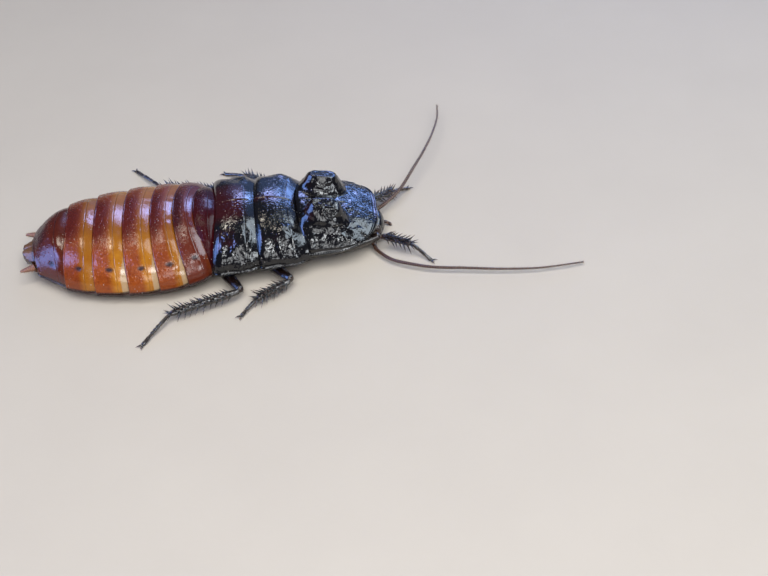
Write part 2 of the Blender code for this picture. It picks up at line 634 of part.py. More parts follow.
def make_leg(name, leg, seed):
    """One leg in four pieces: broad flat coxa, stout femur, spined tibia, and foot with two claws."""
    draw = random.Random(seed)
    thick = leg["thick"]
    hip, seat, knee, ankle, toe = (np.array(leg[key]) for key in ("hip", "seat", "knee", "ankle", "toe"))
    tube("coxa_" + name, [hip, seat], COXA_SECTIONS, 10, BLACK_SHELL, steps=3)
    start = beyond(seat, knee, COXA_END_RADIUS + GAP)
    belly = [(share, thick * width, thick * height) for share, width, height in FEMUR_BELLY]
    sections = [(0.0, FEMUR_ROOT_RADIUS), *belly, (1.0, KNEE_RADIUS)]
    tube("femur_" + name, [start, knee], sections, 10, BLACK_SHELL, steps=6)
    start = beyond(knee, ankle, KNEE_RADIUS + GAP)
    shaft = [(share, thick * width) for share, width in TIBIA_SHAFT]
    sections = [(0.0, TIBIA_ROOT_RADIUS), *shaft, (1.0, ANKLE_RADIUS)]
    tibia = tube("tibia_" + name, [start, ankle], sections, 8, BLACK_SHELL, steps=5)
    boolean(tibia, "UNION", tibia_spines(name, start, ankle, toe, shaft[-1][1], leg["spines"], draw))
    start = beyond(ankle, toe, ANKLE_RADIUS + GAP)
    share, rise = TARSUS_ARCH
    middle = start * (1 - share) + toe * share + np.array([0.0, 0.0, rise])
    foot = tube("tarsus_" + name, [start, middle, toe], TARSUS_SECTIONS, 8, BLACK_SHELL, steps=3)
    forward = unit((toe - middle) * np.array([1.0, 1.0, 0.0]))
    across = np.array([-forward[1], forward[0], 0.0])
    claws = []
    for k, sign in enumerate((1, -1)):
        direction = unit(forward * CLAW_SPREAD[0] + across * CLAW_SPREAD[1] * sign)
        root = toe + forward * CLAW_ROOT[0] + across * CLAW_ROOT[1] * sign
        claws.append(spine("%s_claw_%d" % (name, k), root, direction, CLAW_LENGTH, CLAW_RADIUS))
    boolean(foot, "UNION", claws)


clear_scene()
make_pronotum()
make_thorax_shields()
make_abdomen()
make_tail()
make_thorax_underside()
make_head()
make_antennae()
for number, (leg_name, leg_places) in enumerate(LEGS.items()):
    make_leg(leg_name, leg_places, 11 + number)
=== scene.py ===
"""The looks of a life-size Madagascar hissing cockroach, an adult male with a horned shield and a banded abdomen.

Shapes are worked out in millimetres, with the head towards +X and the left side towards +Y, and each mesh is turned
into metres as it is made. Every surface is a grid of points that a formula gives.
"""

import math

import bpy
import mathutils
import numpy as np
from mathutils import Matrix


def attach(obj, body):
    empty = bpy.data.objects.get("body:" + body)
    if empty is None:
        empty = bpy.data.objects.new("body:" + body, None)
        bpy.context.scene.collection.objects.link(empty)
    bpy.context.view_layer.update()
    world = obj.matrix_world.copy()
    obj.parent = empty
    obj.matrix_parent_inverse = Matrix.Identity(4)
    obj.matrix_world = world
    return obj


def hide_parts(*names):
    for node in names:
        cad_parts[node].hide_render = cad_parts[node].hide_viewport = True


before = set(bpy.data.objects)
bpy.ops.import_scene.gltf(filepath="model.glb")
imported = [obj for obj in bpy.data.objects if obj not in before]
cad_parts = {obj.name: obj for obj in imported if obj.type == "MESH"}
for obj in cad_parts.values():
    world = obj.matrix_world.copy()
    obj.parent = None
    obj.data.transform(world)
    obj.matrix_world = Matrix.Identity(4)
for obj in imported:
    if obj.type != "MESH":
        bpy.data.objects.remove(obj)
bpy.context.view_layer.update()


# Soft body under the plates. It is the animal's own tough brown skin, folded where the segments slide, and it shows
# only in the slits between the hard plates. It is one closed form from the neck to the tail, a little smaller than
# the shell round it.
MM = 0.001
BACK_STEP = 4
SKIN_ROWS = 113
SKIN_LANES = 81
SKIN_ENDS = (43.0, -18.6)
SKIN_DEPTH = 0.9
SKIN_TOP = ((43.0, 4.6), (39.0, 6.5), (29.0, 8.6), (14.7, 9.7), (2.8, 9.4), (-7.3, 9.1), (-12.4, 8.7), (-18.6, 5.4))
SKIN_SIDE = ((43.0, 3.5), (41.0, 3.8), (24.0, 4.2), (10.6, 3.6), (-2.1, 2.9), (-18.6, 3.6))
SKIN_UNDER = (
    (43.0, 3.4), (37.0, 3.3), (14.7, 3.6), (10.6, 3.3), (2.8, 0.8), (-7.3, 0.7), (-12.4, 1.5), (-18.6, 3.3),
)
SKIN_HALF = (
    (43.0, 2.2), (40.0, 3.4), (37.0, 5.6), (31.0, 7.0), (24.0, 8.0), (16.0, 9.2), (12.0, 10.2), (6.9, 12.3),
    (2.8, 13.0), (-2.1, 12.8), (-7.3, 11.7), (-12.4, 9.4), (-18.6, 5.2),
)
SKIN_FOLD = 0.13
SKIN_FOLD_RATE = 2.9
SKIN_FOLD_SWAY = 0.8
SKIN_PUCKER = 0.08


def ease(value):
    """Rises from 0 to 1 as value goes from 0 to 1, with level ends."""
    held = np.clip(value, 0.0, 1.0)
    return held * held * (3.0 - 2.0 * held)


def along(table, x):
    """Reads a table of (x, value) rows at x, by straight lines between its rows."""
    rows = sorted(table)
    return np.interp(x, [row[0] for row in rows], [row[1] for row in rows])


def places_at(x, y, z):
    """Points from their coordinates, each of which may be a number, a row, a column or a whole grid."""
    return np.stack(np.broadcast_arrays(x, y, z), -1)


def side_lanes(count):
    """Places across a plate from -1 to 1, closer together towards the margins: minus the cosine of an even turn."""
    return -np.cos(np.pi * np.arange(count) / (count - 1))


def scramble(i, j, k, seed):
    """A repeatable number from 0 to 1 for each whole-numbered place: large odd products, mixed bit by bit."""
    bits = np.zeros(np.broadcast(i, j, k).shape, np.uint32)
    for number, factor in ((i, 374761393), (j, 668265263), (k, 2246822519)):
        whole = np.asarray(number).astype(np.int64).astype(np.uint32)
        bits = (bits ^ (whole * np.uint32(factor))) + np.uint32(seed)
        bits = (bits ^ (bits >> 15)) * np.uint32(2654435761)
    return (bits ^ (bits >> 13)).astype(float) / 2.0 ** 32


def ripple(places, cell, seed):
    """Smooth noise from -1 to 1: a random number at each corner of a lattice, eased between the eight of a cell."""
    scaled = places / cell
    low = np.floor(scaled)
    share = ease(scaled - low)
    total = 0.0
    for corner in np.ndindex(2, 2, 2):
        weight = np.prod(np.where(corner, share, 1.0 - share), axis=-1)
        total = total + weight * scramble(*np.moveaxis(low + corner, -1, 0), seed)
    return 2.0 * total - 1.0


def grid_quads(index):
    """The quads between neighbouring rows and lanes of a grid of point numbers."""
    return np.stack([index[:-1, :-1], index[:-1, 1:], index[1:, 1:], index[1:, :-1]], -1).reshape(-1, 4)


def border(index):
    """The point numbers once round the edge of a grid."""
    return np.concatenate([index[0, :-1], index[:-1, -1], index[-1, :0:-1], index[:0:-1, 0]])


def slab(face, back, **readings):
    """A closed plate: a fine grid for the face that shows and a coarse one for its back, with triangles between.

    The coarse grid keeps one point of the back for every BACK_STEP rows and lanes.
    """
    back = back[::BACK_STEP, ::BACK_STEP]
    fine = np.arange(face.shape[0] * face.shape[1]).reshape(face.shape[:2])
    coarse = fine.size + np.arange(back.shape[0] * back.shape[1]).reshape(back.shape[:2])
    rim, base = border(fine), border(coarse)
    fans = np.stack([np.roll(rim, -1), rim, np.repeat(base, BACK_STEP)], -1)
    links = np.stack([np.roll(rim, -BACK_STEP)[::BACK_STEP], base, np.roll(base, -1)], -1)
    points = np.concatenate([face.reshape(-1, 3), back.reshape(-1, 3)])
    values = {}
    for name, reading in readings.items():
        spread = np.broadcast_to(reading, face.shape[:2])
        values[name] = np.concatenate([spread.ravel(), spread[::BACK_STEP, ::BACK_STEP].ravel()])
    return points, [grid_quads(fine), grid_quads(coarse)[:, ::-1], fans, links], values


def slab_facing_down(face, back, **readings):
    """The same for a plate whose fine face looks down, so that its lanes run the other way."""
    return slab(face[:, ::-1], back[:, ::-1], **{name: reading[:, ::-1] for name, reading in readings.items()})


def add_piece(name, finish, slot, nodes, *patches):
    """One object from closed patches laid end to end. It rides on the body and stands for the nodes named.

    A patch holds its points in millimetres, arrays of its faces' corners, and readings with a value at each point.
    """
    faces, first = [], 0
    for points, groups, _ in patches:
        faces += [(group + first).tolist() for group in groups]
        first += len(points)
    mesh = bpy.data.meshes.new(name)
    mesh.from_pydata((np.concatenate([patch[0] for patch in patches]) * MM).tolist(), [], sum(faces, []))
    for reading in sorted({key for patch in patches for key in patch[2]}):
        values = [patch[2].get(reading, np.zeros(len(patch[0]))) for patch in patches]
        mesh.attributes.new(reading, "FLOAT", "POINT").data.foreach_set("value", np.concatenate(values))
    mesh.shade_smooth()
    mesh.materials.append(finish)
    piece = bpy.data.objects.new(name, mesh)
    bpy.context.scene.collection.objects.link(piece)
    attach(piece, "root")
    if nodes:
        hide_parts(*nodes)
    return piece


class Wire:
    """A socket of a finish. Sums and products of wires and numbers add the Math nodes that work them out."""

    def __init__(self, tree, socket=None):
        self.tree = tree
        self.socket = socket

    def node(self, kind, settings, inputs, output=0):
        """Adds any node: its settings first, then a wire or a value for each of its sockets."""
        made = self.tree.nodes.new(kind)
        for name, value in settings.items():
            setattr(made, name, value)
        for name, value in inputs.items():
            if isinstance(value, Wire):
                self.tree.links.new(value.socket, made.inputs[name])
            else:
                made.inputs[name].default_value = value
        return Wire(self.tree, made.outputs[output])

    def maths(self, operation, *values):
        return self.node("ShaderNodeMath", dict(operation=operation), dict(enumerate(values)))

    def __add__(self, other):
        return self.maths("ADD", self, other)

    def __sub__(self, other):
        return self.maths("SUBTRACT", self, other)

    def __rsub__(self, other):
        return self.maths("SUBTRACT", other, self)

    def __mul__(self, other):
        return self.maths("MULTIPLY", self, other)

    __radd__ = __add__
    __rmul__ = __mul__

    def step(self, low, high):
        """Eases from 0 to 1 as the wire goes from low to high."""
        inputs = {"Value": self, "From Min": low, "From Max": high}
        return self.node("ShaderNodeMapRange", dict(interpolation_type="SMOOTHSTEP"), inputs)

    def mix(self, low, high):
        """A colour between low and high, at this share of the way."""
        low, high = ((*colour, 1.0) if isinstance(colour, tuple) else colour for colour in (low, high))
        return self.node("ShaderNodeMix", dict(data_type="RGBA"), {0: self, 6: low, 7: high}, 2)

    def reading(self, name):
        """A number that the mesh holds at each point."""
        return self.node("ShaderNodeAttribute", dict(attribute_name=name), {}, "Fac")

    def noise(self, size, detail=3.0, roughness=0.55):
        """Noise from 0 to 1 in the object's own space, with lumps of about this size in millimetres."""
        place = self.node("ShaderNodeTexCoord", {}, {}, "Object")
        inputs = {"Vector": place, "Scale": 1.0 / (size * MM), "Detail": detail, "Roughness": roughness}
        return self.node("ShaderNodeTexNoise", {}, inputs)

    def cells(self, size):
        """Distance from the middle of cells of about this size in millimetres."""
        place = self.node("ShaderNodeTexCoord", {}, {}, "Object")
        inputs = {"Vector": place, "Scale": 1.0 / (size * MM)}
        return self.node("ShaderNodeTexVoronoi", dict(feature="F1"), inputs)

    def painted_glints(self, colour):
        """Painted glints: the colour with a scatter of pale specks a tenth of a millimetre wide."""
        speck = self.cells(0.8).step(0.13, 0.08) * self.noise(2.2).step(0.45, 0.60)
        return speck.mix(colour, (0.48, 0.46, 0.45))

    def bump(self, depth):
        """Surface relief: this wire as a height, with 1 standing for a depth in millimetres."""
        return self.node("ShaderNodeBump", {}, {"Height": self, "Distance": depth * MM, "Strength": 1.0}, "Normal")


def finish(name, paint, **constants):
    """A material. Constants go on its shader's own sockets, and paint gives its colour, roughness and normal."""
    material = bpy.data.materials.new(name)
    material.use_nodes = True
    tree = material.node_tree
    shader = tree.nodes["Principled BSDF"]
    for socket, value in constants.items():
        shader.inputs[socket.replace("_", " ")].default_value = value
    for socket, wire in zip(("Base Color", "Roughness", "Normal"), paint(Wire(tree))):
        tree.links.new(wire.socket, shader.inputs[socket])
    return material


def paint_skin(wire):
    """Brown skin, darker in its folds and mottled, with fine creases."""
    mottle = wire.noise(1.6)
    crease = wire.noise(0.35, 4.0)
    fold = wire.reading("fold").step(0.0, 1.0)
    colour = (mottle * 0.6 + fold * 0.5).mix((0.020, 0.008, 0.005), (0.16, 0.07, 0.035))
    return colour, 0.35 + crease * 0.3, (crease + mottle).bump(0.08)


skin_finish = finish("folded_skin", paint_skin, Specular_IOR_Level=0.4)


def soft_body():
    """Section ovals of the given half width between a top and an underside, with folds that circle the body.

    The top falls to the sides as the square root of 1 - u squared, the underside rises to them as u to the 4th.
    """
    x = np.linspace(*SKIN_ENDS, SKIN_ROWS)[:, None]
    u = side_lanes(SKIN_LANES)[None, :]
    shoulder = np.sqrt(np.maximum(1.0 - u ** 2, 0.0))
    side = along(SKIN_SIDE, x)
    fold = np.sin(x * SKIN_FOLD_RATE + SKIN_FOLD_SWAY * np.cos(u * 5.0))
    y = along(SKIN_HALF, x) * u
    top = side + (along(SKIN_TOP, x) - SKIN_DEPTH - side) * shoulder
    under = side + (along(SKIN_UNDER, x) - side) * (1.0 - np.abs(u) ** 4) + SKIN_FOLD * (1.0 + fold)
    upper = places_at(x, y, top)
    lower = places_at(x, y, np.minimum(under, top))
    lower[..., 2] += SKIN_PUCKER * ripple(lower, 1.2, 3)
    lower[..., 2] = np.minimum(lower[..., 2], top)
    return slab_facing_down(lower, upper, fold=0.5 + 0.5 * fold)


add_piece("soft_body", skin_finish, "underside", ["thorax_underside"], soft_body())


# Belly plates. Seven broad plates of thin brown shell cover the underside of the abdomen, each with its rear edge
# over the front of the next. They lie flat on the floor in the middle and curve up to tuck inside the back plates.
SEAMS = {
    "pronotum": dict(x=29.2, half=9.9, crest=9.8, edge=4.2, lean=0.8),
    "mesonotum": dict(x=21.7, half=12.4, crest=11.1, edge=4.2, lean=0.1),
    "metanotum": dict(x=14.6, half=12.8, crest=10.9, edge=4.2, lean=-0.9),
    "abdomen_1": dict(x=10.6, half=12.3, crest=10.9, edge=3.9, lean=2.7),
    "abdomen_2": dict(x=6.9, half=13.7, crest=10.6, edge=3.6, lean=2.3),
    "abdomen_3": dict(x=2.8, half=14.3, crest=10.4, edge=3.4, lean=1.4),
    "abdomen_4": dict(x=-2.1, half=14.0, crest=10.3, edge=3.3, lean=0.8),
    "abdomen_5": dict(x=-7.3, half=12.9, crest=10.2, edge=3.3, lean=0.0),
    "abdomen_6": dict(x=-12.4, half=10.7, crest=9.9, edge=3.4, lean=-0.3),
    "abdomen_7": dict(x=-19.0, half=6.5, crest=6.4, edge=3.8, lean=1.2),
}
SEAM_NAMES = list(SEAMS)
SEGMENTS = [(number, SEAMS[SEAM_NAMES[number + 1]], SEAMS[SEAM_NAMES[number + 2]]) for number in range(1, 8)]
FIRST_SEGMENT_HALF = 10.3
BELLY = ((14.6, 3.6), (10.6, 3.1), (6.9, 1.6), (2.8, 0.2), (2.0, 0.0), (-7.3, 0.0), (-12.4, 0.7), (-19.0, 2.9))
BELLY_ROWS = 49
BELLY_LANES = 129
BELLY_INSET = 0.45
BELLY_MARGIN = 0.8
BELLY_TUCK = 0.4
BELLY_THICKNESS = 0.35
BELLY_BEAD = 0.16
BELLY_CREASE = 0.10
BELLY_PUCKER = 0.03


def bell(value, middle, width):
    """1 at the middle, and e to the minus square of the distance from it, counted in widths."""
    return np.exp(-((value - middle) / width) ** 2)


def blend(share, low, high):
    """The value at a share of the way from low to high."""
    return (1 - share) * low + share * high


def seam_x(seam, y):
    """Where a seam lies at a distance y from the midline: ahead by its lean times (y / half) squared."""
    return seam["x"] + seam["lean"] * (y / seam["half"]) ** 2


def paint_belly(wire):
    """Chestnut shell, darker to the sides and along each rear edge, with faint cloudy patches."""
    cloud = wire.noise(2.4, 4.0)
    fine = wire.noise(0.25, 2.0)
    dark = wire.reading("ink") + (cloud - 0.5) * 0.5
    colour = dark.step(0.1, 0.9).mix((0.19, 0.062, 0.020), (0.028, 0.009, 0.006))
    return colour, 0.22 + cloud * 0.2, (fine + cloud).bump(0.03)


belly_finish = finish("belly_shell", paint_belly, Coat_Weight=0.3, Coat_Roughness=0.15)


def belly_plate(front, rear, first):
    """One belly plate: flat in the middle, rising smoothly to its margins, its front tucked up under the one ahead.

    Each flank has a crease along it, and the rear edge curls up a little.
    """
    s = np.linspace(-0.08, 1.0, BELLY_ROWS)[:, None]
    u = side_lanes(BELLY_LANES)[None, :]
    half = FIRST_SEGMENT_HALF if first else blend(s, front["half"], rear["half"])
    y = (half - BELLY_INSET) * u
    x = blend(s, seam_x(front, y), seam_x(rear, y))
    edge = blend(s, front["edge"], rear["edge"]) - BELLY_MARGIN
    flank = ease((np.abs(u) - 0.45) / 0.55) ** 1.3
    belly = along(BELLY, x)
    tuck = BELLY_TUCK * (1.0 - ease(s / 0.3)) + BELLY_BEAD * ease((s - 0.965) / 0.035)
    crease = BELLY_CREASE * bell(np.abs(u), 0.62, 0.03) * ease((s - 0.05) / 0.2) * ease((1 - s) / 0.2)
    z = belly + (edge - belly) * flank + tuck + crease
    z = z + BELLY_PUCKER * ripple(places_at(x, y, 0.0), 1.1, 7)
    face = places_at(x, y, np.maximum(z, 0.0))
    ink = 0.75 * ease((np.abs(u) - 0.5) / 0.5) + 0.8 * ease((s - 0.85) / 0.15)
    return slab_facing_down(face, face + (0.0, 0.0, BELLY_THICKNESS), ink=ink)


for number, ahead, own in SEGMENTS:
    add_piece("belly_plate_%d" % number, belly_finish, "underside", [], belly_plate(ahead, own, number == 1))


# Back plates of the abdomen. Seven broad arched plates of glossy shell, smooth and amber in front where they slide
# under the plate ahead, grained and dark red behind, with a thin groove between and a dark pit on each flank. Each
# ends behind in a rounded bead that stands over the next plate.
ARCH_POWER = 2.1
ARCH_FULLNESS = 0.425
PLATE_ROWS = 97
PLATE_LANES = 305
PLATE_TUCK = 0.1
PLATE_THICKNESS = 0.36
PLATE_PROFILE = (
    (-0.10, -0.68), (0.0, -0.52), (0.08, -0.36), (0.16, -0.22), (0.26, -0.09), (0.36, 0.0), (0.48, 0.05),
    (0.62, 0.07), (0.78, 0.05), (0.90, 0.0), (1.0, -0.06),
)
# The last plate bulges in its middle. Every plate widens at the shoulders as it rises, but by no more than this.
PLATE_BULGE = {7: 0.9}
SHOULDER = 0.1
GROOVE_PLACE = 0.30
GROOVE_DEPTH = 0.05
BEAD_PLACE = 0.955
BEAD_HEIGHT = 0.06
REAR_ROWS = 12
REAR_PLACE = 0.965
REAR_SPAN = 0.035
REAR_ROUNDING = 0.16
MARGIN_ROUNDING = 0.35
WAVE_HEIGHT = 0.035
GRAIN_START = 0.36
# Cell, radius and height of the coarse and the fine grains.
COARSE_GRAIN = (0.75, 0.26, 0.050)
FINE_GRAIN = (0.33, 0.17, 0.016)
PIT_PLACE = (0.47, 0.86)
PIT_RADIUS = 0.66
PIT_DEPTH = 0.10
PIT_STRETCH = 1.9
PIT_UNEVENNESS = 0.16
# For each plate: how far back its amber front reaches, how wine-red it is, how dark it is at least, how pale the
# sides of its front are, in a cream that is partly the shell's own colour and partly a painted highlight, and
# how strong its grain is.
PLATE_LOOKS = {
    1: dict(amber=0.00, wine=1.00, dusk=1.00, pale=0.0, grain=1.0),
    2: dict(amber=0.00, wine=0.90, dusk=0.45, pale=0.0, grain=1.0),
    3: dict(amber=0.32, wine=0.25, dusk=0.10, pale=0.8, grain=0.9),
    4: dict(amber=0.38, wine=0.00, dusk=0.00, pale=1.0, grain=0.9),
    5: dict(amber=0.38, wine=0.00, dusk=0.00, pale=1.0, grain=0.9),
    6: dict(amber=0.36, wine=0.05, dusk=0.35, pale=0.2, grain=0.8),
    7: dict(amber=0.10, wine=0.90, dusk=0.60, pale=0.0, grain=0.8),
}


def eased(table, x, span):
    """Reads a table of rows at x as the mean of nine readings within a span of it, which rounds its corners."""
    return sum(along(table, x + shift) for shift in np.linspace(-span, span, 9)) / 9


def arch(u):
    """The cross section of the back: 1 on the midline, 0 at the margins, with full shoulders."""
    return (1.0 - np.minimum(np.abs(u), 1.0) ** ARCH_POWER) ** ARCH_FULLNESS


def girth_lanes(count):
    """Places across a back plate that lie evenly round its section, for a half width of 12 and a rise of 6.8."""
    fine = 1.0 - (1.0 - np.linspace(0.0, 1.0, 4001)) ** 2.4
    run = np.concatenate([[0.0], np.cumsum(np.hypot(12.0 * np.diff(fine), 6.8 * np.diff(arch(fine))))])
    half = np.interp(np.linspace(0.0, run[-1], count // 2 + 1), run, fine)
    return np.concatenate([-half[:0:-1], half])


def outward(grid):
    """Unit normals of a grid of points: the step across its lanes crossed with the step along its rows."""
    normal = np.cross(np.gradient(grid, axis=1), np.gradient(grid, axis=0))
    return normal / np.maximum(np.linalg.norm(normal, axis=-1), 1e-12)[..., None]


def raised_plate(smooth, height, thickness, lowest, **readings):
    """A closed plate whose face is a smooth grid raised by a height along its normals.

    Its back lies a thickness under the smooth grid, and nowhere lower than lowest.
    """
    normal = outward(smooth)
    back = smooth - normal * thickness
    back[..., 2] = np.maximum(back[..., 2], lowest)
    return slab(smooth + normal * height[..., None], back, **readings)


def girth(grid):
    """Distance round the body from the midline, for each lane: the steps across the middle row, added up."""
    steps = np.linalg.norm(np.diff(grid[len(grid) // 2], axis=0), axis=-1)
    run = np.concatenate([[0.0], np.cumsum(steps)])
    return (run - run[len(run) // 2])[None, :]


def from_margin(run):
    """Distance round the body to the nearer margin, for each lane, from its distance to the midline."""
    return np.minimum(run[0, -1] - run, run - run[0, 0])


def pebbles(a, b, cell, radius, seed):
    """Rounded grains, one at a random place in each cell of a square lattice, with radii from half to the whole.

    A grain's height is its radius share times (1 - (distance / radius) squared) squared, and the tallest one wins.
    """
    column, row = np.floor(a / cell), np.floor(b / cell)
    height = np.zeros(np.broadcast(a, b).shape)
    for across in (-1, 0, 1):
        for down in (-1, 0, 1):
            i, j = column + across, row + down
            middle_a = (i + scramble(i, j, 0 * i, seed)) * cell
            middle_b = (j + scramble(i, j, 0 * i + 1, seed)) * cell
            share = 0.5 + 0.5 * scramble(i, j, 0 * i + 2, seed)
            reach = ((a - middle_a) ** 2 + (b - middle_b) ** 2) / (share * radius) ** 2
            height = np.maximum(height, share * np.maximum(1.0 - reach, 0.0) ** 2)
    return height


def rounded_rows(count, start, near):
    """Shares from start to 1: even ones up to near, then a few closer and closer by a quarter cosine."""
    even = np.linspace(start, near, count - REAR_ROWS)
    turn = np.pi / 2 * np.arange(1, REAR_ROWS + 1) / REAR_ROWS
    return np.concatenate([even, 1.0 - (1.0 - near) * np.cos(turn)])


def rounded_off(share, fullness=1.0):
    """The fall of a rounded edge from 0 to 1: 1 less the root of 1 less the square of the eased share."""
    return 1.0 - np.sqrt(1.0 - fullness * ease(share) ** 2)


def arched(front, rear, half, edge, rise, s, u, bulge=0.0):
    """The smooth surface from seam to seam. Its section is the arch from the edge up to the crest plus the rise."""
    y = (half + np.minimum(rise, SHOULDER)) * u
    x = blend(s, seam_x(front, y), seam_x(rear, y))
    crest = blend(s, front["crest"], rear["crest"]) + rise + bulge
    return places_at(x, y, edge + (crest - edge) * arch(u))


def paint_banded(wire):
    """Amber in front, rust behind and dark red over the back, or wine-red all over, with cream and ink marks.

    The cream is partly the shell's own colour and partly a painted highlight, and pale specks of painted glint are
    scattered over all.
    """
    cloud = wire.noise(1.1, 4.0)
    speck = wire.noise(0.28, 2.0)
    grain = wire.reading("grain")
    dusk = (wire.reading("dusk") + (cloud - 0.5) * 0.25).step(0.0, 1.0)
    rust = (cloud * 0.7 + speck * 0.4 + grain * 0.4 - 0.1).mix((0.095, 0.008, 0.001), (0.46, 0.105, 0.008))
    amber = (cloud * 0.8 + speck * 0.2).mix((0.27, 0.070, 0.004), (0.58, 0.265, 0.020))
    lit = wire.reading("glow").mix(rust, amber)
    dark = (speck * 0.6 + grain * 0.6).mix((0.050, 0.004, 0.002), (0.21, 0.022, 0.008))
    lit_wine = (speck * 0.6 + grain * 0.5).mix((0.11, 0.015, 0.004), (0.27, 0.050, 0.012))
    dark_wine = (speck * 0.6 + grain * 0.6).mix((0.018, 0.002, 0.003), (0.085, 0.006, 0.010))
    shell = wire.reading("wine").mix(dusk.mix(lit, dark), dusk.mix(lit_wine, dark_wine))
    # The cream mixed in here is partly the shell's own colour and partly a painted highlight of the smooth front
    # band.
    pale = (wire.reading("pale") + (cloud - 0.5) * 0.25).step(0.1, 0.8)
    marked = wire.reading("ink").mix(pale.mix(shell, (0.44, 0.30, 0.17)), (0.020, 0.006, 0.007))
    rough = 0.13 + 0.08 * wire.reading("rear") + speck * 0.08 + 0.12 * wire.reading("ink")
    # The pale specks added here are painted glints.
    return wire.painted_glints(marked), rough, (speck + grain).bump(0.012)


banded_finish = finish("banded_shell", paint_banded, IOR=1.5)
first_finish = finish("dull_banded_shell", paint_banded, IOR=1.5, Specular_IOR_Level=0.13)


def back_plate(number, front, rear):
    """One back plate between two seams, on the arch section, with groove, bead, grain and pits raised on it.

    The colours go by how far back a place lies, how far from the midline, and how near to a groove, pit or edge.
    """
    looks = PLATE_LOOKS[number]
    s = rounded_rows(PLATE_ROWS, -PLATE_TUCK, REAR_PLACE)[:, None]
    u = girth_lanes(PLATE_LANES)[None, :]
    across = np.abs(u)
    half = FIRST_SEGMENT_HALF if number == 1 else blend(s, front["half"], rear["half"])
    edge = blend(s, front["edge"], rear["edge"])
    bulge = PLATE_BULGE.get(number, 0.0) * np.sin(np.pi * np.clip(s, 0, 1))
    smooth = arched(front, rear, half, edge, eased(PLATE_PROFILE, s, 0.06), s, u, bulge)
    length = (front["x"] - rear["x"]) * s
    run = girth(smooth)
    away = from_margin(run)
    grained = ease((s - GRAIN_START) / 0.12) * ease((0.95 - s) / 0.04) * ease((1 - across) / 0.03)
    coarse = pebbles(length, run, *COARSE_GRAIN[:2], 20 + number) * looks["grain"]
    fine = pebbles(length, run, *FINE_GRAIN[:2], 40 + number)
    pit_ahead = (s - PIT_PLACE[0]) * (front["x"] - rear["x"])
    pit = np.hypot(pit_ahead, (across - PIT_PLACE[1]) * half * PIT_STRETCH)
    pit = pit + PIT_UNEVENNESS * ripple(smooth, 0.6, 60 + number)
    groove = bell(s, GROOVE_PLACE, 0.014)
    height = (
        grained * (COARSE_GRAIN[2] * coarse + FINE_GRAIN[2] * fine)
        + WAVE_HEIGHT * ripple(smooth, 1.3, 80 + number) * ease((1.0 - s) / 0.1)
        - GROOVE_DEPTH * groove
        + BEAD_HEIGHT * bell(s, BEAD_PLACE, 0.018)
        - PIT_DEPTH * bell(pit, 0.0, PIT_RADIUS) * (number > 1)
        - REAR_ROUNDING * rounded_off((s - REAR_PLACE) / REAR_SPAN)
    )
    glow = 1.0 - ease((s - looks["amber"] + 0.08) / 0.26)
    dusk = (1.0 - ease((across - 0.18) / 0.62)) * (0.45 + 0.55 * ease((s - 0.35) / 0.45))
    # Cream towards the margins at the front of each plate: partly the shell's own colour, partly a painted highlight.
    pale = looks["pale"] * (1.0 - ease((s - 0.02 - 0.12 * ease((across - 0.76) / 0.2)) / 0.08))
    ink = np.maximum.reduce([
        0.5 * groove * (1.0 - 0.5 * across ** 4),
        0.97 * np.exp(-(pit / PIT_RADIUS) ** 4) * (number > 1),
        0.85 * ease((0.5 - away) / 0.3) + 0 * s,
        0.8 * ease((s - 0.975) / 0.02) * ease((across - 0.3) / 0.5),
    ])
    return raised_plate(
        smooth, height, PLATE_THICKNESS, edge - PLATE_THICKNESS - MARGIN_ROUNDING * 0.5,
        grain=grained * (0.6 * coarse + 0.4 * fine), rear=grained, glow=glow, dusk=np.maximum(dusk, looks["dusk"]),
        pale=pale * ease((across - 0.62) / 0.26), ink=ink, wine=looks["wine"],
    )


for number, ahead, own in SEGMENTS:
    plate_finish = first_finish if number == 1 else banded_finish
    slot = "maroon_shell" if number < 3 else "amber_shell"
    add_piece("back_plate_%d" % number, plate_finish, slot, ["abdomen_%d" % number], back_plate(number, ahead, own))


# Two shields behind the head shield. Black glossy shell, thick and rigid, crinkled and pebbled like beaten leather
# on the flanks, with a smooth front band, a fine ridge along the middle and a beaded rim. The rear one is wine-red in
# its middle.
SHIELD_ROWS = 129
SHIELD_LANES = 321
SHIELD_PROFILE = (
    (-0.08, -0.80), (0.0, -0.60), (0.05, -0.45), (0.12, -0.27), (0.20, -0.10), (0.28, 0.03), (0.38, 0.13),
    (0.52, 0.18), (0.66, 0.16), (0.80, 0.08), (0.92, -0.03), (1.0, -0.14),
)
SHIELD_THICKNESS = 0.5
SHIELD_FRONT_HALF = 11.6
SHIELD_BULGE = {"mesonotum": 0.35, "metanotum": 0.1}
# Where a boss, a dent and a calm patch lie on each flank, and how long and wide they are, as shares of the shield.
BOSS = ((0.34, 0.70), (0.17, 0.13))
DENT = ((0.62, 0.86), (0.13, 0.07))
CALM = ((0.24, 0.86), (0.12, 0.06))
# Heights of what stands on the shields: wide and fine wrinkles and how far both are sunk, grains, boss and dent,
# waves, the ridge along the middle, the line across the front and the droop of the rear on the flanks.
SHIELD_RELIEF = dict(
    wrinkle=0.50, crinkle=0.08, sunk=0.36, grain=0.048, boss=0.32, dent=0.24, wave=0.06, keel=0.08, line=0.05,
    droop=0.30,
)
KEEL_WIDTH = 0.14
# The bead along a margin and the groove inside it: distance from the edge and width. Then the knobs' spacing.
MARGIN_BEAD = (0.32, 0.20)
MARGIN_GROOVE = (0.80, 0.18)
BEAD_SPACING = 0.55


def off_squared(a, b, middle, widths):
    """The square of the distance from a middle in two directions, each counted in its own widths."""
    return ((a - middle[0]) / widths[0]) ** 2 + ((b - middle[1]) / widths[1]) ** 2


def crinkle(places, cell, seed):
    """Sharp-crested wrinkles from 0 to 1: one less the size of smooth noise, bent by a wider noise."""
    bent = places + 0.5 * cell * np.stack([ripple(places, 1.7 * cell, seed + turn) for turn in (1, 2, 3)], -1)
    return 1.0 - np.abs(ripple(bent, cell, seed))


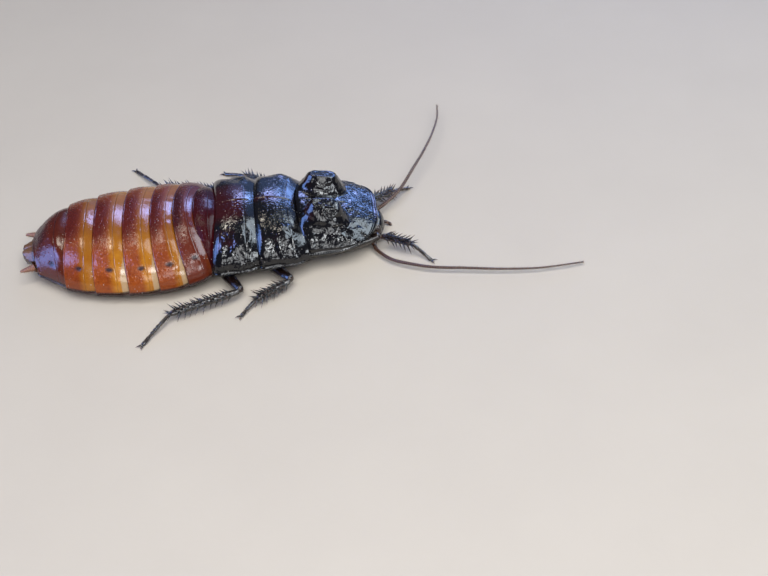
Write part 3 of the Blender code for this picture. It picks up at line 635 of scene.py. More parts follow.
def paint_black(wire):
    """Near-black shell, wine-red where the shield reads so, a shade greyer on its grains, with uneven gloss."""
    cloud = wire.noise(1.5, 4.0)
    speck = wire.noise(0.22, 2.0)
    knobs = 1.0 - wire.cells(0.45)
    black = (cloud * 0.8 + wire.reading("grain") * 0.3).mix((0.001, 0.001, 0.002), (0.007, 0.006, 0.008))
    wine = speck.mix((0.014, 0.0012, 0.002), (0.060, 0.005, 0.008))
    colour = (wire.reading("wine") + (cloud - 0.5) * 0.7).step(0.1, 0.9).mix(black, wine)
    rough = 0.07 + 0.10 * speck + 0.05 * cloud
    # The pale specks added here are painted glints.
    return wire.painted_glints(colour), rough, (knobs * 0.45 + speck * 0.2).bump(0.035)


black_finish = finish("black_shell", paint_black, IOR=1.55)


def margin_beads(away, run, seed):
    """A rim along a margin: a bead set with small knobs, and a groove inside it, by the distance from the edge."""
    sway = 0.15 * ripple(places_at(run, 0.0, 0.0), 1.1, seed)
    knobs = 0.5 + 0.5 * np.cos(2 * np.pi * (run / BEAD_SPACING + sway))
    return bell(away, *MARGIN_BEAD) * (0.13 + 0.07 * knobs) - 0.08 * bell(away, *MARGIN_GROOVE)


def body_shield(name, ahead, seed, wine_half):
    """One shield on the arch section with its front tucked low.

    Its flanks are raised into wrinkles and grains, calmer in one patch, with a boss and a dent. Its margins are
    beaded, and its rear edge droops and is rounded off.
    """
    rear, raised = SEAMS[name], SHIELD_RELIEF
    front_half = max(SEAMS[ahead]["half"], SHIELD_FRONT_HALF)
    front = dict(SEAMS[ahead], half=front_half)
    front["lean"] = SEAMS[ahead]["lean"] * (front_half / SEAMS[ahead]["half"]) ** 2
    s = rounded_rows(SHIELD_ROWS, -0.08, 0.97)[:, None]
    u = girth_lanes(SHIELD_LANES)[None, :]
    rise = eased(SHIELD_PROFILE, s, 0.05) + SHIELD_BULGE[name] * np.sin(np.pi * np.clip(s, 0.0, 1.0))
    smooth = arched(front, rear, blend(s, front["half"], rear["half"]), rear["edge"], rise, s, u)
    length = (front["x"] - rear["x"]) * s
    run = girth(smooth)
    away = from_margin(run)
    across = np.abs(u)
    flank = ease((across - 0.40) / 0.25)
    start = 0.15 - 0.08 * flank - 0.04 * ripple(places_at(0.0, run, 0.0), 1.2, seed + 9)
    rough_zone = ease((s - start) / 0.12) * ease((0.93 - 0.08 * flank - s) / 0.06)
    inside = ease((away - 0.45) / 0.5)
    wrinkled = places_at(length, run * 0.6, 0.0)
    boss = np.exp(-off_squared(s, across, *BOSS))
    dent = np.exp(-off_squared(s, across, *DENT))
    calm = 1.0 - 0.85 * np.exp(-off_squared(s, across, *CALM) ** 2)
    grains = pebbles(length, run, 0.62, 0.2, seed) + 0.7 * pebbles(length, run, 0.38, 0.12, seed + 1)
    grains = grains + flank * pebbles(length, run, 0.85, 0.38, seed + 5)
    wide, fine = crinkle(wrinkled, 2.6, seed + 2), crinkle(smooth, 1.1, seed + 3)
    height = (
        rough_zone * flank * inside * calm * (1.0 - 0.5 * ease((s - 0.5) / 0.3))
        * (raised["wrinkle"] * wide + raised["crinkle"] * fine - raised["sunk"])
        + rough_zone * calm * raised["grain"] * grains
        + raised["boss"] * boss - raised["dent"] * dent
        + raised["wave"] * ripple(smooth, 2.6, seed + 4) * ease((1.0 - s) / 0.1)
        + margin_beads(away, length, seed) * ease(s / 0.1)
        + raised["keel"] * bell(smooth[..., 1], 0.0, KEEL_WIDTH) * ease((s - 0.1) / 0.1)
        - raised["line"] * bell(s, 0.24, 0.012)
        - raised["droop"] * flank * np.clip((s - 0.85) / 0.15, 0.0, 1.0) ** 1.4
        - (0.34 - 0.20 * flank) * rounded_off((s - 0.90) / 0.10, 0.98)
    )
    wine = 0.9 * ease((wine_half - across) / 0.4) * ease((s - 0.08) / 0.35)
    wine = np.maximum(wine, 0.6 * wine_half * flank * ease((s - 0.3) / 0.3) * ease((0.9 - across) / 0.1))
    lowest = rear["edge"] - SHIELD_THICKNESS - 0.15
    return raised_plate(smooth, height, SHIELD_THICKNESS, lowest, grain=grains * rough_zone, wine=wine)


rear_shield = body_shield("metanotum", "mesonotum", 110, 0.62)
middle_shield = body_shield("mesonotum", "pronotum", 120, 0.25)
add_piece("rear_shield", black_finish, "maroon_shell", ["metanotum"], rear_shield)
add_piece("middle_shield", black_finish, "black_shell", ["mesonotum"], middle_shield)


# Head shield. The largest plate of black shell: a broad vault with a low front shelf inside a thin raised rim, and
# the male's two blunt horns, steep in front, which it pushes rivals with. Its flanks have wrinkles that run outwards.
PRONOTUM_FRONT = 43.8
PRONOTUM_FRONT_HALF = 7.65
PRONOTUM_ROUNDING = 2.2
PRONOTUM_ROUNDING_POWER = 3.6
PRONOTUM_SWELL = 2.55
PRONOTUM_SWELL_SHARE = 0.7
PRONOTUM_WAIST = 0.2
PRONOTUM_FRONT_SHARE = 0.03
PRONOTUM_RIM_RISE = 1.9
PRONOTUM_DOME = 5.8
HORN_HEIGHT = 2.98
HORN_SIDE = 4.6
HORN_CENTRE = 34.7
HORN_REACH = dict(front=3.9, rear=5.4, side=3.7)
HORN_TOP = dict(front=0.48, rear=0.42, side=0.30)
HORN_PLAN = 2.6
PRONOTUM_ROWS = 193
PRONOTUM_LANES = 285
PRONOTUM_THICKNESS = 0.55
# The place beside each horn that the wrinkles run out from, and the heights of what stands on the shield: those
# rays, crinkles and how far each is sunk, grains, waves, the front rim and its groove, and the middle ridge.
RAYS_FROM = (34.5, 3.0)
PRONOTUM_RELIEF = dict(
    ray=0.42, ray_sunk=0.25, crinkle=0.12, fine=0.04, sunk=0.08, horn=0.18, horn_sunk=0.15, grain=0.045, wave=0.07,
    rim=0.12, groove=0.08, keel=0.06, rear=0.34, front=0.25,
)


def horn_rise(x, y):
    """Height that the two blunt horns add: level inside a rounded plan, then easing to nothing at its reach.

    The plan is a superellipse, longer behind the horn's middle than in front of it. The share of the way to its
    edge at which the top ends goes from the side's to the front's or rear's, as the place lies more that way.
    """
    ahead = x > HORN_CENTRE
    fore = (np.abs(x - HORN_CENTRE) / np.where(ahead, HORN_REACH["front"], HORN_REACH["rear"])) ** HORN_PLAN
    out = fore + (np.abs(np.abs(y) - HORN_SIDE) / HORN_REACH["side"]) ** HORN_PLAN
    lean = fore / np.maximum(out, 1e-9)
    top = HORN_TOP["side"] + (np.where(ahead, HORN_TOP["front"], HORN_TOP["rear"]) - HORN_TOP["side"]) * lean
    return HORN_HEIGHT * (1.0 - ease((out ** (1.0 / HORN_PLAN) - top) / (1.0 - top)))


def head_shield():
    """The shield from its front rim to its rear seam: a dome on a rim that rises to the front, and the two horns.

    Its half width swells by 1 less the cube of what is left, and its front edge falls back by a power of u.
    """
    rear, raised = SEAMS["pronotum"], PRONOTUM_RELIEF
    front_rows = PRONOTUM_FRONT_SHARE * (1.0 - np.cos(np.pi / 2 * np.arange(REAR_ROWS) / REAR_ROWS))
    rows = rounded_rows(PRONOTUM_ROWS - REAR_ROWS, PRONOTUM_FRONT_SHARE, 0.98)
    s = np.concatenate([front_rows, rows])[:, None]
    u = girth_lanes(PRONOTUM_LANES)[None, :]
    share = PRONOTUM_SWELL_SHARE
    half = PRONOTUM_FRONT_HALF + PRONOTUM_SWELL * (1.0 - (1.0 - np.minimum(s / share, 1.0)) ** 3)
    y = (half - PRONOTUM_WAIST * ease((s - share) / (1.0 - share))) * u
    front_x = PRONOTUM_FRONT - PRONOTUM_ROUNDING * np.abs(u) ** PRONOTUM_ROUNDING_POWER
    x = blend(s, front_x, seam_x(rear, y))
    reach = np.clip((x - rear["x"]) / (PRONOTUM_FRONT - rear["x"]), 0.0, 1.0)
    margin = rear["edge"] + PRONOTUM_RIM_RISE * reach ** 2
    dome = PRONOTUM_DOME * (1.0 - (1.0 - s) ** 1.7)
    smooth = places_at(x, y, margin + dome * arch(u) + horn_rise(x, y))
    length = s * (PRONOTUM_FRONT - rear["x"])
    run = girth(smooth)
    away = from_margin(run)
    beside = np.abs(y) - RAYS_FROM[1]
    turn = np.arctan2(x - RAYS_FROM[0], np.maximum(beside, 0.05)) * np.sign(y)
    radial = places_at(turn * 5.0, np.hypot(x - RAYS_FROM[0], beside) * 0.30, 0.0)
    flank = ease((np.abs(u) - 0.60) / 0.2) * ease((s - 0.12) / 0.12)
    inside = ease((np.minimum(away, length) - 0.5) / 0.6) * ease((0.98 - s) / 0.05)
    grains = pebbles(length, run, 0.62, 0.2, 131) + 0.8 * pebbles(length, run, 0.36, 0.13, 132)
    horn = horn_rise(x, y) / HORN_HEIGHT
    crinkles = raised["crinkle"] * crinkle(smooth, 1.7, 134) + raised["fine"] * ripple(smooth, 0.8, 135)
    height = (
        inside * flank * (raised["ray"] * crinkle(radial, 1.5, 133) - raised["ray_sunk"])
        + inside * (crinkles - raised["sunk"])
        + ease(horn / 0.3) * (raised["horn"] * crinkle(smooth, 1.6, 138) - raised["horn_sunk"])
        + inside * raised["grain"] * grains
        + raised["wave"] * ripple(smooth, 2.6, 136)
        + margin_beads(away, length, 137)
        + raised["rim"] * bell(length, 0.28, 0.17) - raised["groove"] * bell(length, 0.75, 0.2)
        + raised["keel"] * bell(y, 0.0, 0.16) * ease((s - 0.3) / 0.2)
        - raised["rear"] * rounded_off((s - 0.95) / 0.05, 0.98)
        - raised["front"] * (1.0 - np.sqrt(1.0 - (1.0 - np.clip(s / PRONOTUM_FRONT_SHARE, 0.0, 1.0)) ** 2))
    )
    wine = 0.6 * ease(horn * 1.5) * ease((33.5 - x) / 3.0)
    lowest = margin - PRONOTUM_THICKNESS - 0.1
    return raised_plate(smooth, height, PRONOTUM_THICKNESS, lowest, grain=grains * inside, wine=wine)


add_piece("head_shield", black_finish, "black_shell", ["pronotum"], head_shield())


# Tail. A tan plate with two rounded lobes covers the vent, and a short jointed feeler, the cercus, stands out on
# each side of it, pinkish brown and set with fine hairs.
TAIL_REAR = -21.15
TAIL_HALF = (3.5, 2.6)
TAIL_TOP = (5.55, 4.9)
TAIL_CORNERS = 0.9
TAIL_NOTCH = 0.45
TAIL_CAMBER = 0.9
TAIL_LOBE = 0.15
TAIL_LIP = 0.25
TAIL_THICKNESS = 0.6
TAIL_RELIEF = dict(wave=0.05, grain=0.04, crease=0.1)
# The scoop under the vent: its front and length, its plan, then its heights over the floor.
SCOOP = dict(
    front=-17.4, length=3.2, corners=1.3, half=5.3, narrowing=1.7, low=2.95, camber=0.9, rise=0.35, lip=0.12,
    pucker=0.03, thickness=0.4,
)
CERCUS = ((-18.7, 4.6, 4.1), (-20.0, 5.15, 4.15), (-21.2, 5.4, 4.05))
CERCUS_JOINTS = 9
CERCUS_RADIUS = 0.78
CERCUS_TAPER = 0.55
CERCUS_HAIRS = 90
CERCUS_HAIR_LENGTH = (0.25, 0.5)
CERCUS_HAIR_RADIUS = 0.022
SIDES = (("left", 1), ("right", -1))


def path_through(points, steps):
    """A curve through the points: each stretch is a Hermite cubic whose slopes come from the points beside it."""
    given = np.asarray(points, dtype=float)
    slopes = np.gradient(given, axis=0)
    h = (np.arange(steps) / steps)[None, :, None]
    a, b, slope_a, slope_b = (grid[:, None, :] for grid in (given[:-1], given[1:], slopes[:-1], slopes[1:]))
    curve = (
        a * (2 * h ** 3 - 3 * h ** 2 + 1) + slope_a * (h ** 3 - 2 * h ** 2 + h)
        + b * (3 * h ** 2 - 2 * h ** 3) + slope_b * (h ** 3 - h ** 2)
    )
    return np.concatenate([curve.reshape(-1, 3), given[-1:]])


def path_length(curve):
    """Distance along a curve to each of its points."""
    return np.concatenate([[0.0], np.cumsum(np.linalg.norm(np.diff(curve, axis=0), axis=1))])


def path_at_runs(run, values, distances):
    """Values with three columns, known at runs along a path, read at other distances."""
    return np.stack([np.interp(distances, run, values[:, axis]) for axis in range(3)], -1)


def path_at(curve, distances):
    """Points at given distances along a curve."""
    return path_at_runs(path_length(curve), curve, distances)


def unit(directions):
    """Directions at length 1."""
    return directions / np.maximum(np.linalg.norm(directions, axis=-1), 1e-12)[..., None]


def frames_along(curve):
    """Unit directions along a curve, to its left and level with the floor, and upwards from both."""
    ahead = unit(np.gradient(curve, axis=0))
    side = unit(np.cross((0.0, 0.0, 1.0), ahead) + np.array([0.0, 1e-6, 0.0]))
    return ahead, side, np.cross(ahead, side)


def tube_faces(rings, sides):
    """Quads round a tube of rings, and quads across each end that join each point to the one facing it."""
    index = np.arange(rings * sides).reshape(rings, sides)
    near = np.arange(sides // 2 - 1)
    lid = np.stack([near, near + 1, sides - 2 - near, sides - 1 - near], -1)
    skin = grid_quads(np.concatenate([index, index[:, :1]], 1))
    return np.concatenate([skin, lid[:, ::-1], lid + (rings - 1) * sides])


def tube(curve, widths, heights, sides, relief=0.0, floor=None, **readings):
    """A closed tube: rings with half widths to the sides and half heights up and down, plus relief at each point.

    Readings may have a value for each ring, or one for each of its points.
    """
    _, side, up = frames_along(curve)
    turn = 2 * np.pi * np.arange(sides) / sides
    widths, heights = (np.broadcast_to(size, len(curve))[:, None] for size in (widths, heights))
    reach = side[:, None, :] * ((widths + relief) * np.cos(turn))[..., None]
    points = curve[:, None, :] + reach + up[:, None, :] * ((heights + relief) * np.sin(turn))[..., None]
    if floor is not None:
        points[..., 2] = np.maximum(points[..., 2], floor)
    values = {}
    for name, value in readings.items():
        spread = np.reshape(value, (len(curve), -1))
        values[name] = np.broadcast_to(spread, points.shape[:2]).ravel()
    return points.reshape(-1, 3), [tube_faces(len(curve), sides)], values


def rounded(distances, length, start, end):
    """Shrinks a tube's ends to domes: the quarter circle of the given radii over the last stretch at each end."""
    shrink = np.ones_like(distances)
    for radius, gap in ((start, distances), (end, length - distances)):
        if radius > 0:
            shrink = shrink * np.sqrt(np.maximum(1.0 - (1.0 - np.minimum(gap / radius, 1.0)) ** 2, 0.0))
    return np.maximum(shrink, 0.02)


def spikes(roots, directions, lengths, thick, bend=0.0, sides=4, rings=3, collar=1.0, floor=0.01):
    """Many thin curved cones. A ring at share t lies t lengths from the root, and bend t squared lengths down.

    The radius falls from the collar's at the root to a fine tip. The reading named tip is t.
    """
    t = np.linspace(0.0, 1.0, rings)
    ahead = unit(directions)
    side = unit(np.cross(ahead, np.array([0.31, 0.17, 0.94])))
    up = np.cross(side, ahead)
    drop = np.array([0.0, 0.0, -1.0]) * bend
    middle = roots[:, None] + lengths[:, None, None] * (ahead[:, None] * t[:, None] + drop * (t ** 2)[:, None])
    radius = thick * np.where(t == 0.0, collar, np.maximum(1.0 - t ** 1.3, 0.08))
    turn = 2 * np.pi * np.arange(sides) / sides
    cosine, sine = (radius[:, None] * wave(turn) for wave in (np.cos, np.sin))
    points = middle[:, :, None] + up[:, None, None] * cosine[..., None] + side[:, None, None] * sine[..., None]
    points[..., 2] = np.maximum(points[..., 2], floor)
    count = rings * sides
    faces = (tube_faces(rings, sides)[None] + count * np.arange(len(roots))[:, None, None]).reshape(-1, 4)
    tip = np.broadcast_to(t[None, :, None], points.shape[:3]).ravel()
    return points.reshape(-1, 3), [faces], {"tip": tip, "hair": np.ones(len(tip))}


def paint_tan(wire):
    """Tan shell, browner to its edges, with fine grain."""
    cloud = wire.noise(0.9, 4.0)
    speck = wire.noise(0.2, 2.0)
    dark = wire.reading("ink") + (cloud - 0.5) * 0.6
    colour = dark.step(0.0, 1.0).mix((0.17, 0.078, 0.028), (0.035, 0.013, 0.007))
    return colour, 0.3 + speck * 0.2, (speck + cloud).bump(0.04)


def paint_pink(wire):
    """Pinkish brown shell, palest where each joint begins, with pale hairs."""
    cloud = wire.noise(0.5, 3.0)
    body = (wire.reading("ring") * 0.7 + cloud * 0.4).mix((0.36, 0.19, 0.13), (0.13, 0.050, 0.032))
    colour = wire.reading("hair").mix(body, (0.45, 0.33, 0.22))
    return colour, 0.35 + cloud * 0.2, cloud.bump(0.03)


tan_finish = finish("tan_shell", paint_tan, Coat_Weight=0.2, Coat_Roughness=0.2)
pink_finish = finish("pink_shell", paint_pink)


def tail_plate():
    """A thin plate that narrows to two lobes: its rear edge lies forward by u to the 2.5th and at the notch."""
    s = rounded_rows(61, -0.12, 0.94)[:, None]
    u = side_lanes(93)[None, :]
    y = blend(s, *TAIL_HALF) * u * np.sqrt(1.0 - 0.25 * np.clip(s, 0, 1) ** 6)
    rear_edge = TAIL_REAR + TAIL_CORNERS * np.abs(u) ** 2.5 + TAIL_NOTCH * bell(u, 0.0, 0.16)
    x = blend(s, seam_x(SEAMS["abdomen_7"], y), rear_edge)
    top = blend(s, *TAIL_TOP) - TAIL_CAMBER * u ** 2 + TAIL_LOBE * bell(np.abs(u), 0.5, 0.25)
    smooth = places_at(x, y, top - TAIL_LIP * ease((s - 0.94) / 0.06))
    relief = (
        TAIL_RELIEF["wave"] * ripple(smooth, 0.7, 150) + TAIL_RELIEF["grain"] * pebbles(x, y, 0.4, 0.22, 151)
        - TAIL_RELIEF["crease"] * bell(u, 0.0, 0.05)
    )
    face = smooth + outward(smooth) * relief[..., None]
    ink = 0.5 * np.abs(u) ** 3 + 0.5 * ease((s - 0.8) / 0.2) + 0.5 * ease((0.25 - s) / 0.2)
    return slab(face, smooth - (0.0, 0.0, TAIL_THICKNESS), ink=ink)


def vent_plate():
    """The last belly plate, under the vent: a shallow scoop between the last segment's margins."""
    s = rounded_rows(49, 0.0, 0.93)[:, None]
    u = side_lanes(65)[None, :]
    y = (SCOOP["half"] - SCOOP["narrowing"] * s ** 2) * u
    x = SCOOP["front"] - SCOOP["length"] * s + SCOOP["corners"] * np.abs(u) ** 2.5 * s
    z = SCOOP["low"] + SCOOP["camber"] * u ** 2 + SCOOP["rise"] * s + SCOOP["lip"] * ease((s - 0.93) / 0.07)
    face = places_at(x, y, z)
    face[..., 2] += SCOOP["pucker"] * ripple(face, 0.6, 152)
    return slab_facing_down(face, face + (0.0, 0.0, SCOOP["thickness"]), ink=0.6 * np.abs(u) ** 2 + 0.4 * s)


def cercus(sign, draw):
    """A tapering tube of short joints, swollen in their middles by a sine, with hairs at random places all over."""
    curve = path_through(np.array(CERCUS) * (1, sign, 1), 40)
    total = path_length(curve)[-1]
    run = np.linspace(0.0, total, 91)
    phase = (run / total * CERCUS_JOINTS) % 1.0
    taper = CERCUS_RADIUS - CERCUS_TAPER * run / total
    radius = taper * (0.88 + 0.12 * np.sin(np.pi * phase)) * rounded(run, total, 0.0, 0.25)
    body = tube(path_at(curve, run), radius, radius * 0.85, 20, ring=phase)
    place = draw.uniform(0.15, 0.97, CERCUS_HAIRS) * total
    turn = draw.uniform(0.0, 2 * np.pi, CERCUS_HAIRS)
    ahead, side, up = frames_along(path_at(curve, np.linspace(0.0, total, 20)))
    out = side[0] * np.cos(turn)[:, None] + up[0] * np.sin(turn)[:, None]
    roots = path_at(curve, place) + out * (CERCUS_RADIUS - CERCUS_TAPER * place / total)[:, None] * 0.8
    directions = out + ahead[10] * draw.uniform(0.2, 0.7, (CERCUS_HAIRS, 1))
    return body, spikes(roots, directions, draw.uniform(*CERCUS_HAIR_LENGTH, CERCUS_HAIRS), CERCUS_HAIR_RADIUS)


add_piece("vent_cover", tan_finish, "tail_plate", ["supra_anal_plate"], tail_plate())
add_piece("vent_scoop", belly_finish, "underside", [], vent_plate())
for side_name, sign in SIDES:
    patches = cercus(sign, np.random.default_rng(160 + sign))
    add_piece("tail_feeler_" + side_name, pink_finish, "cercus", ["cercus_" + side_name], *patches)


# Head. A black capsule of thin shell hangs under the front of the shield with its face forwards: a broad brow, a
# face plate, the upper lip as a flap below it, and the jaws closed behind. A kidney-shaped eye is set in each side.
HEAD_CROWN = (44.0, 0.0, 4.45)
HEAD_MOUTH = (41.2, 0.0, 0.75)
HEAD_WIDTHS = (
    (0.0, 1.3), (0.08, 2.4), (0.24, 3.3), (0.42, 3.5), (0.60, 3.1), (0.72, 2.55), (0.90, 2.0), (1.0, 1.1),
)
HEAD_DEPTHS = (
    (0.0, 0.5), (0.08, 1.2), (0.24, 1.9), (0.42, 2.15), (0.60, 2.0), (0.72, 1.72), (0.90, 1.2), (1.0, 0.6),
)
EYE_CENTRE = (43.2, 2.95, 3.55)
EYE_RADII = (0.95, 0.85, 1.25)
EYE_HOLLOW = 0.16
EYE_FACET_HEIGHT = 0.008
FACE_TURN = 1.5 * math.pi
# Depths of the grooves round the face plate, over the lip and beside the jaws, of the crown's seam and its branches,
# then heights of the lip, the antenna sockets and the crinkles.
HEAD_RELIEF = dict(plate=0.14, lip_edge=0.22, jaws=0.16, seam=0.06, branch=0.05, lip=0.10, socket=0.12, crinkle=0.03)


def half_turns(angles):
    """Angles brought to between minus and plus half a turn."""
    return np.angle(np.exp(1j * angles))


def head_capsule():
    """Rings from crown to mouth. Towards the face, grooves part the brow, face plate, lip and jaws."""
    t = 0.5 - 0.5 * np.cos(np.pi * np.linspace(0.0, 1.0, 97))
    crown, mouth = np.array(HEAD_CROWN), np.array(HEAD_MOUTH)
    curve = crown + (mouth - crown) * t[:, None]
    turn = 2 * np.pi * np.arange(96) / 96
    face = half_turns(turn - FACE_TURN)[None, :]
    row = t[:, None]
    front = np.exp(-face ** 4)
    raised = HEAD_RELIEF
    branch = bell(np.abs(face) - 0.25, 0.9 * (row - 0.33), 0.025)
    relief = (
        -raised["plate"] * bell(row - 0.62, 0.03 * np.cos(3 * face), 0.012) * front
        - raised["lip_edge"] * bell(row, 0.745, 0.014) * front
        - raised["jaws"] * bell(np.abs(face), 0.62, 0.05) * ease((row - 0.62) / 0.05)
        + raised["lip"] * np.exp(-off_squared(row, face, (0.84, 0.0), (0.07, 0.45)))
        - raised["seam"] * bell(face, 0.0, 0.02) * ease((0.35 - row) / 0.1)
        - raised["branch"] * branch * ease((row - 0.30) / 0.05) * ease((0.56 - row) / 0.05)
        + raised["socket"] * np.exp(-off_squared(row, np.abs(face), (0.52, 0.95), (0.05, 0.16)))
    )
    places = places_at(curve[:, :1], face * 3.0, curve[:, 2:])
    relief = relief + raised["crinkle"] * crinkle(places, 0.5, 170) - 0.02
    relief = relief * ease(row / 0.05) * ease((1 - row) / 0.03)
    width, depth = along(HEAD_WIDTHS, t), along(HEAD_DEPTHS, t)
    wine = 0.7 * ease((row - 0.58) / 0.15) * front
    return tube(curve, width, depth, 96, relief, grain=0 * relief, wine=wine)


def paint_eye(wire):
    """Brown-black facets under a clear coat, browner in patches."""
    facets = wire.cells(0.055)
    colour = wire.noise(0.8).mix((0.006, 0.003, 0.003), (0.035, 0.010, 0.007))
    return colour, 0.10 + facets * 0.25, (1.0 - facets).bump(0.02)


def eye_facets(sign):
    """An egg with a hollow towards the face, its surface raised in fine rows of facets."""
    rings, sides = 65, 80
    polar = np.linspace(0.02, np.pi - 0.02, rings)[:, None]
    turn = 2 * np.pi * np.arange(sides)[None, :] / sides
    hollow = np.exp(-off_squared(polar, half_turns(turn + 0.4 * sign), (1.9, 0.0), (0.5, 0.5)))
    facets = EYE_FACET_HEIGHT * np.cos(polar * 60.0) * np.cos(turn * 40.0) * np.sin(polar)
    radius = 1.0 - EYE_HOLLOW * hollow + facets
    points = places_at(
        EYE_CENTRE[0] + EYE_RADII[0] * radius * np.sin(polar) * np.cos(turn),
        EYE_CENTRE[1] * sign + EYE_RADII[1] * radius * np.sin(polar) * np.sin(turn),
        EYE_CENTRE[2] - EYE_RADII[2] * radius * np.cos(polar),
    )
    return points.reshape(-1, 3), [tube_faces(rings, sides)], {}


eye_finish = finish("eye_facets", paint_eye, Coat_Weight=0.8, Coat_Roughness=0.04)
add_piece("head_capsule", black_finish, "black_shell", ["head"], head_capsule())
for side_name, sign in SIDES:
    add_piece("facet_eye_" + side_name, eye_finish, "eye", ["eye_" + side_name], eye_facets(sign))


# Feelers and palps. Each long feeler is a whip of brown rings on a stout root, the rings longer towards its tip,
# with a collar of pale hairs round each. The palps are short jointed feelers beside the mouth, downy at their ends.
ANTENNAE = {
    "right": (
        (42.6, -3.3, 1.7), (42.5, -4.6, 1.45), (43.0, -6.4, 1.3), (45.0, -9.2, 1.4), (47.5, -10.9, 1.5),
        (52.2, -13.0, 1.6), (58.0, -14.2, 1.6), (64.0, -15.3, 1.5), (71.0, -15.9, 1.3), (78.9, -15.2, 1.0),
    ),
    "left": (
        (42.6, 3.3, 1.7), (43.2, 4.7, 1.8), (45.6, 5.7, 2.8), (48.5, 8.0, 3.9), (51.3, 12.4, 4.9),
        (54.2, 18.0, 5.3), (56.5, 24.0, 5.1), (58.0, 30.0, 4.4), (58.6, 35.9, 3.3),
    ),
}
ANTENNA_ROOTS = (1.5, 0.8)
ANTENNA_RINGS = (0.34, 0.66)
ANTENNA_RADII = ((0.0, 0.42), (0.4, 0.55), (1.3, 0.52), (1.7, 0.36), (2.3, 0.40), (3.5, 0.33))
ANTENNA_TIP_RADIUS = 0.13
ANTENNA_HAIR_LENGTH = 0.34
ANTENNA_HAIR_GROWTH = 0.16
ANTENNA_HAIR_RADIUS = 0.017
PALP_HAIR_LENGTH = 0.22
PALP_HAIR_RADIUS = 0.013
PALP = ((42.9, 2.5, 0.95), (43.6, 2.65, 1.05), (44.4, 2.5, 1.15), (45.5, 2.3, 0.75), (46.2, 1.9, 0.42))
LIP_PALP = ((42.3, 1.0, 0.75), (43.2, 1.15, 0.8), (44.2, 0.95, 0.45))


def paint_feeler(wire):
    """Brown rings, dark in their middles and paler at the joints, with straw-coloured hairs."""
    speck = wire.noise(0.15, 2.0)
    ring = wire.reading("ring").step(0.15, 0.75)
    body = (ring * 0.8 + speck * 0.3).mix((0.17, 0.085, 0.055), (0.020, 0.007, 0.005))
    colour = wire.reading("hair").mix(body, (0.42, 0.30, 0.20))
    return colour, 0.25 + speck * 0.25, speck.bump(0.02)


feeler_finish = finish("ringed_feeler", paint_feeler, Coat_Weight=0.15, Coat_Roughness=0.2)


def whorls(curve, places, radius, per_place, length, draw, thick, floor=0.01):
    """Hairs round a path: so many at each place, at random turns, leaning forwards."""
    run = path_length(curve)
    directions = [path_at_runs(run, axis, places) for axis in frames_along(curve)]
    sizes = [np.broadcast_to(value, len(places)) for value in (radius, length)]
    ahead, side, up, middle, reach, size = (
        np.repeat(value, per_place, axis=0) for value in (*directions, path_at(curve, places), *sizes)
    )
    turn = draw.uniform(0.0, 2 * np.pi, len(middle))[:, None]
    out = side * np.cos(turn) + up * np.sin(turn)
    lean = draw.uniform(0.5, 1.3, len(middle))[:, None]
    shift = ahead * draw.uniform(-0.08, 0.08, len(middle))[:, None]
    roots = middle + shift + out * reach[:, None] * 0.85
    return spikes(roots, out + ahead * lean, size * draw.uniform(0.6, 1.2, len(middle)), thick, floor=floor)


def antenna(side_name):
    """A whip of rings: each swells and narrows once, and the radius falls from root to tip."""
    draw = np.random.default_rng(180 if side_name == "right" else 181)
    curve = path_through(ANTENNAE[side_name], 40)
    total = path_length(curve)[-1]
    count = int((total - sum(ANTENNA_ROOTS)) / (sum(ANTENNA_RINGS) / 2))
    lengths = np.concatenate([ANTENNA_ROOTS, np.linspace(*ANTENNA_RINGS, count)])
    marks = np.concatenate([[0.0], np.cumsum(lengths) / lengths.sum() * total])
    phases = np.array([0.0, 0.1, 0.3, 0.6, 0.85, 0.96])
    run = (marks[:-1, None] + phases * np.diff(marks)[:, None]).ravel()
    phase = np.tile(phases, len(lengths))
    base = along((*ANTENNA_RADII, (total, ANTENNA_TIP_RADIUS)), run)
    radius = base * (0.86 + 0.14 * np.sqrt(np.sin(np.pi * np.clip(phase, 0.02, 0.98))))
    body = tube(path_at(curve, run), radius, radius, 16, ring=np.sin(np.pi * phase))
    places = marks[2:-1] + 0.75 * np.diff(marks)[2:]
    reach = np.interp(places, run, radius)
    lengths = ANTENNA_HAIR_LENGTH + ANTENNA_HAIR_GROWTH * places / total
    return body, whorls(curve, places, reach, 11, lengths, draw, ANTENNA_HAIR_RADIUS)


def palp(points, joints, thick, draw):
    """A short feeler of a few joints, its last one swollen and downy."""
    curve = path_through(points, 30)
    total = path_length(curve)[-1]
    run = np.linspace(0.0, total, 85)
    phase = (run / total * joints) % 1.0
    radius = thick * (0.78 + 0.22 * np.sin(np.pi * phase) ** 0.6) * (0.85 + 0.25 * run / total)
    radius = radius * rounded(run, total, 0.0, thick)
    body = tube(path_at(curve, run), radius, radius, 18, floor=0.02, ring=np.sin(np.pi * phase))
    places = np.linspace(0.35 * total, 0.97 * total, 16)
    reach = np.interp(places, run, radius)
    return body, whorls(curve, places, reach, 10, PALP_HAIR_LENGTH, draw, PALP_HAIR_RADIUS)


for side_name, sign in SIDES:
    nodes = ["antenna_%s_1" % side_name, "antenna_%s_2" % side_name]
    add_piece("long_feeler_" + side_name, feeler_finish, "feeler", nodes, *antenna(side_name))
    jaw = palp(np.array(PALP) * (1, sign, 1), 4, 0.29, np.random.default_rng(190 + sign))
    lip = palp(np.array(LIP_PALP) * (1, sign, 1), 3, 0.2, np.random.default_rng(195 + sign))
    add_piece("mouth_palps_" + side_name, feeler_finish, "feeler", ["palp_" + side_name], *jaw, *lip)


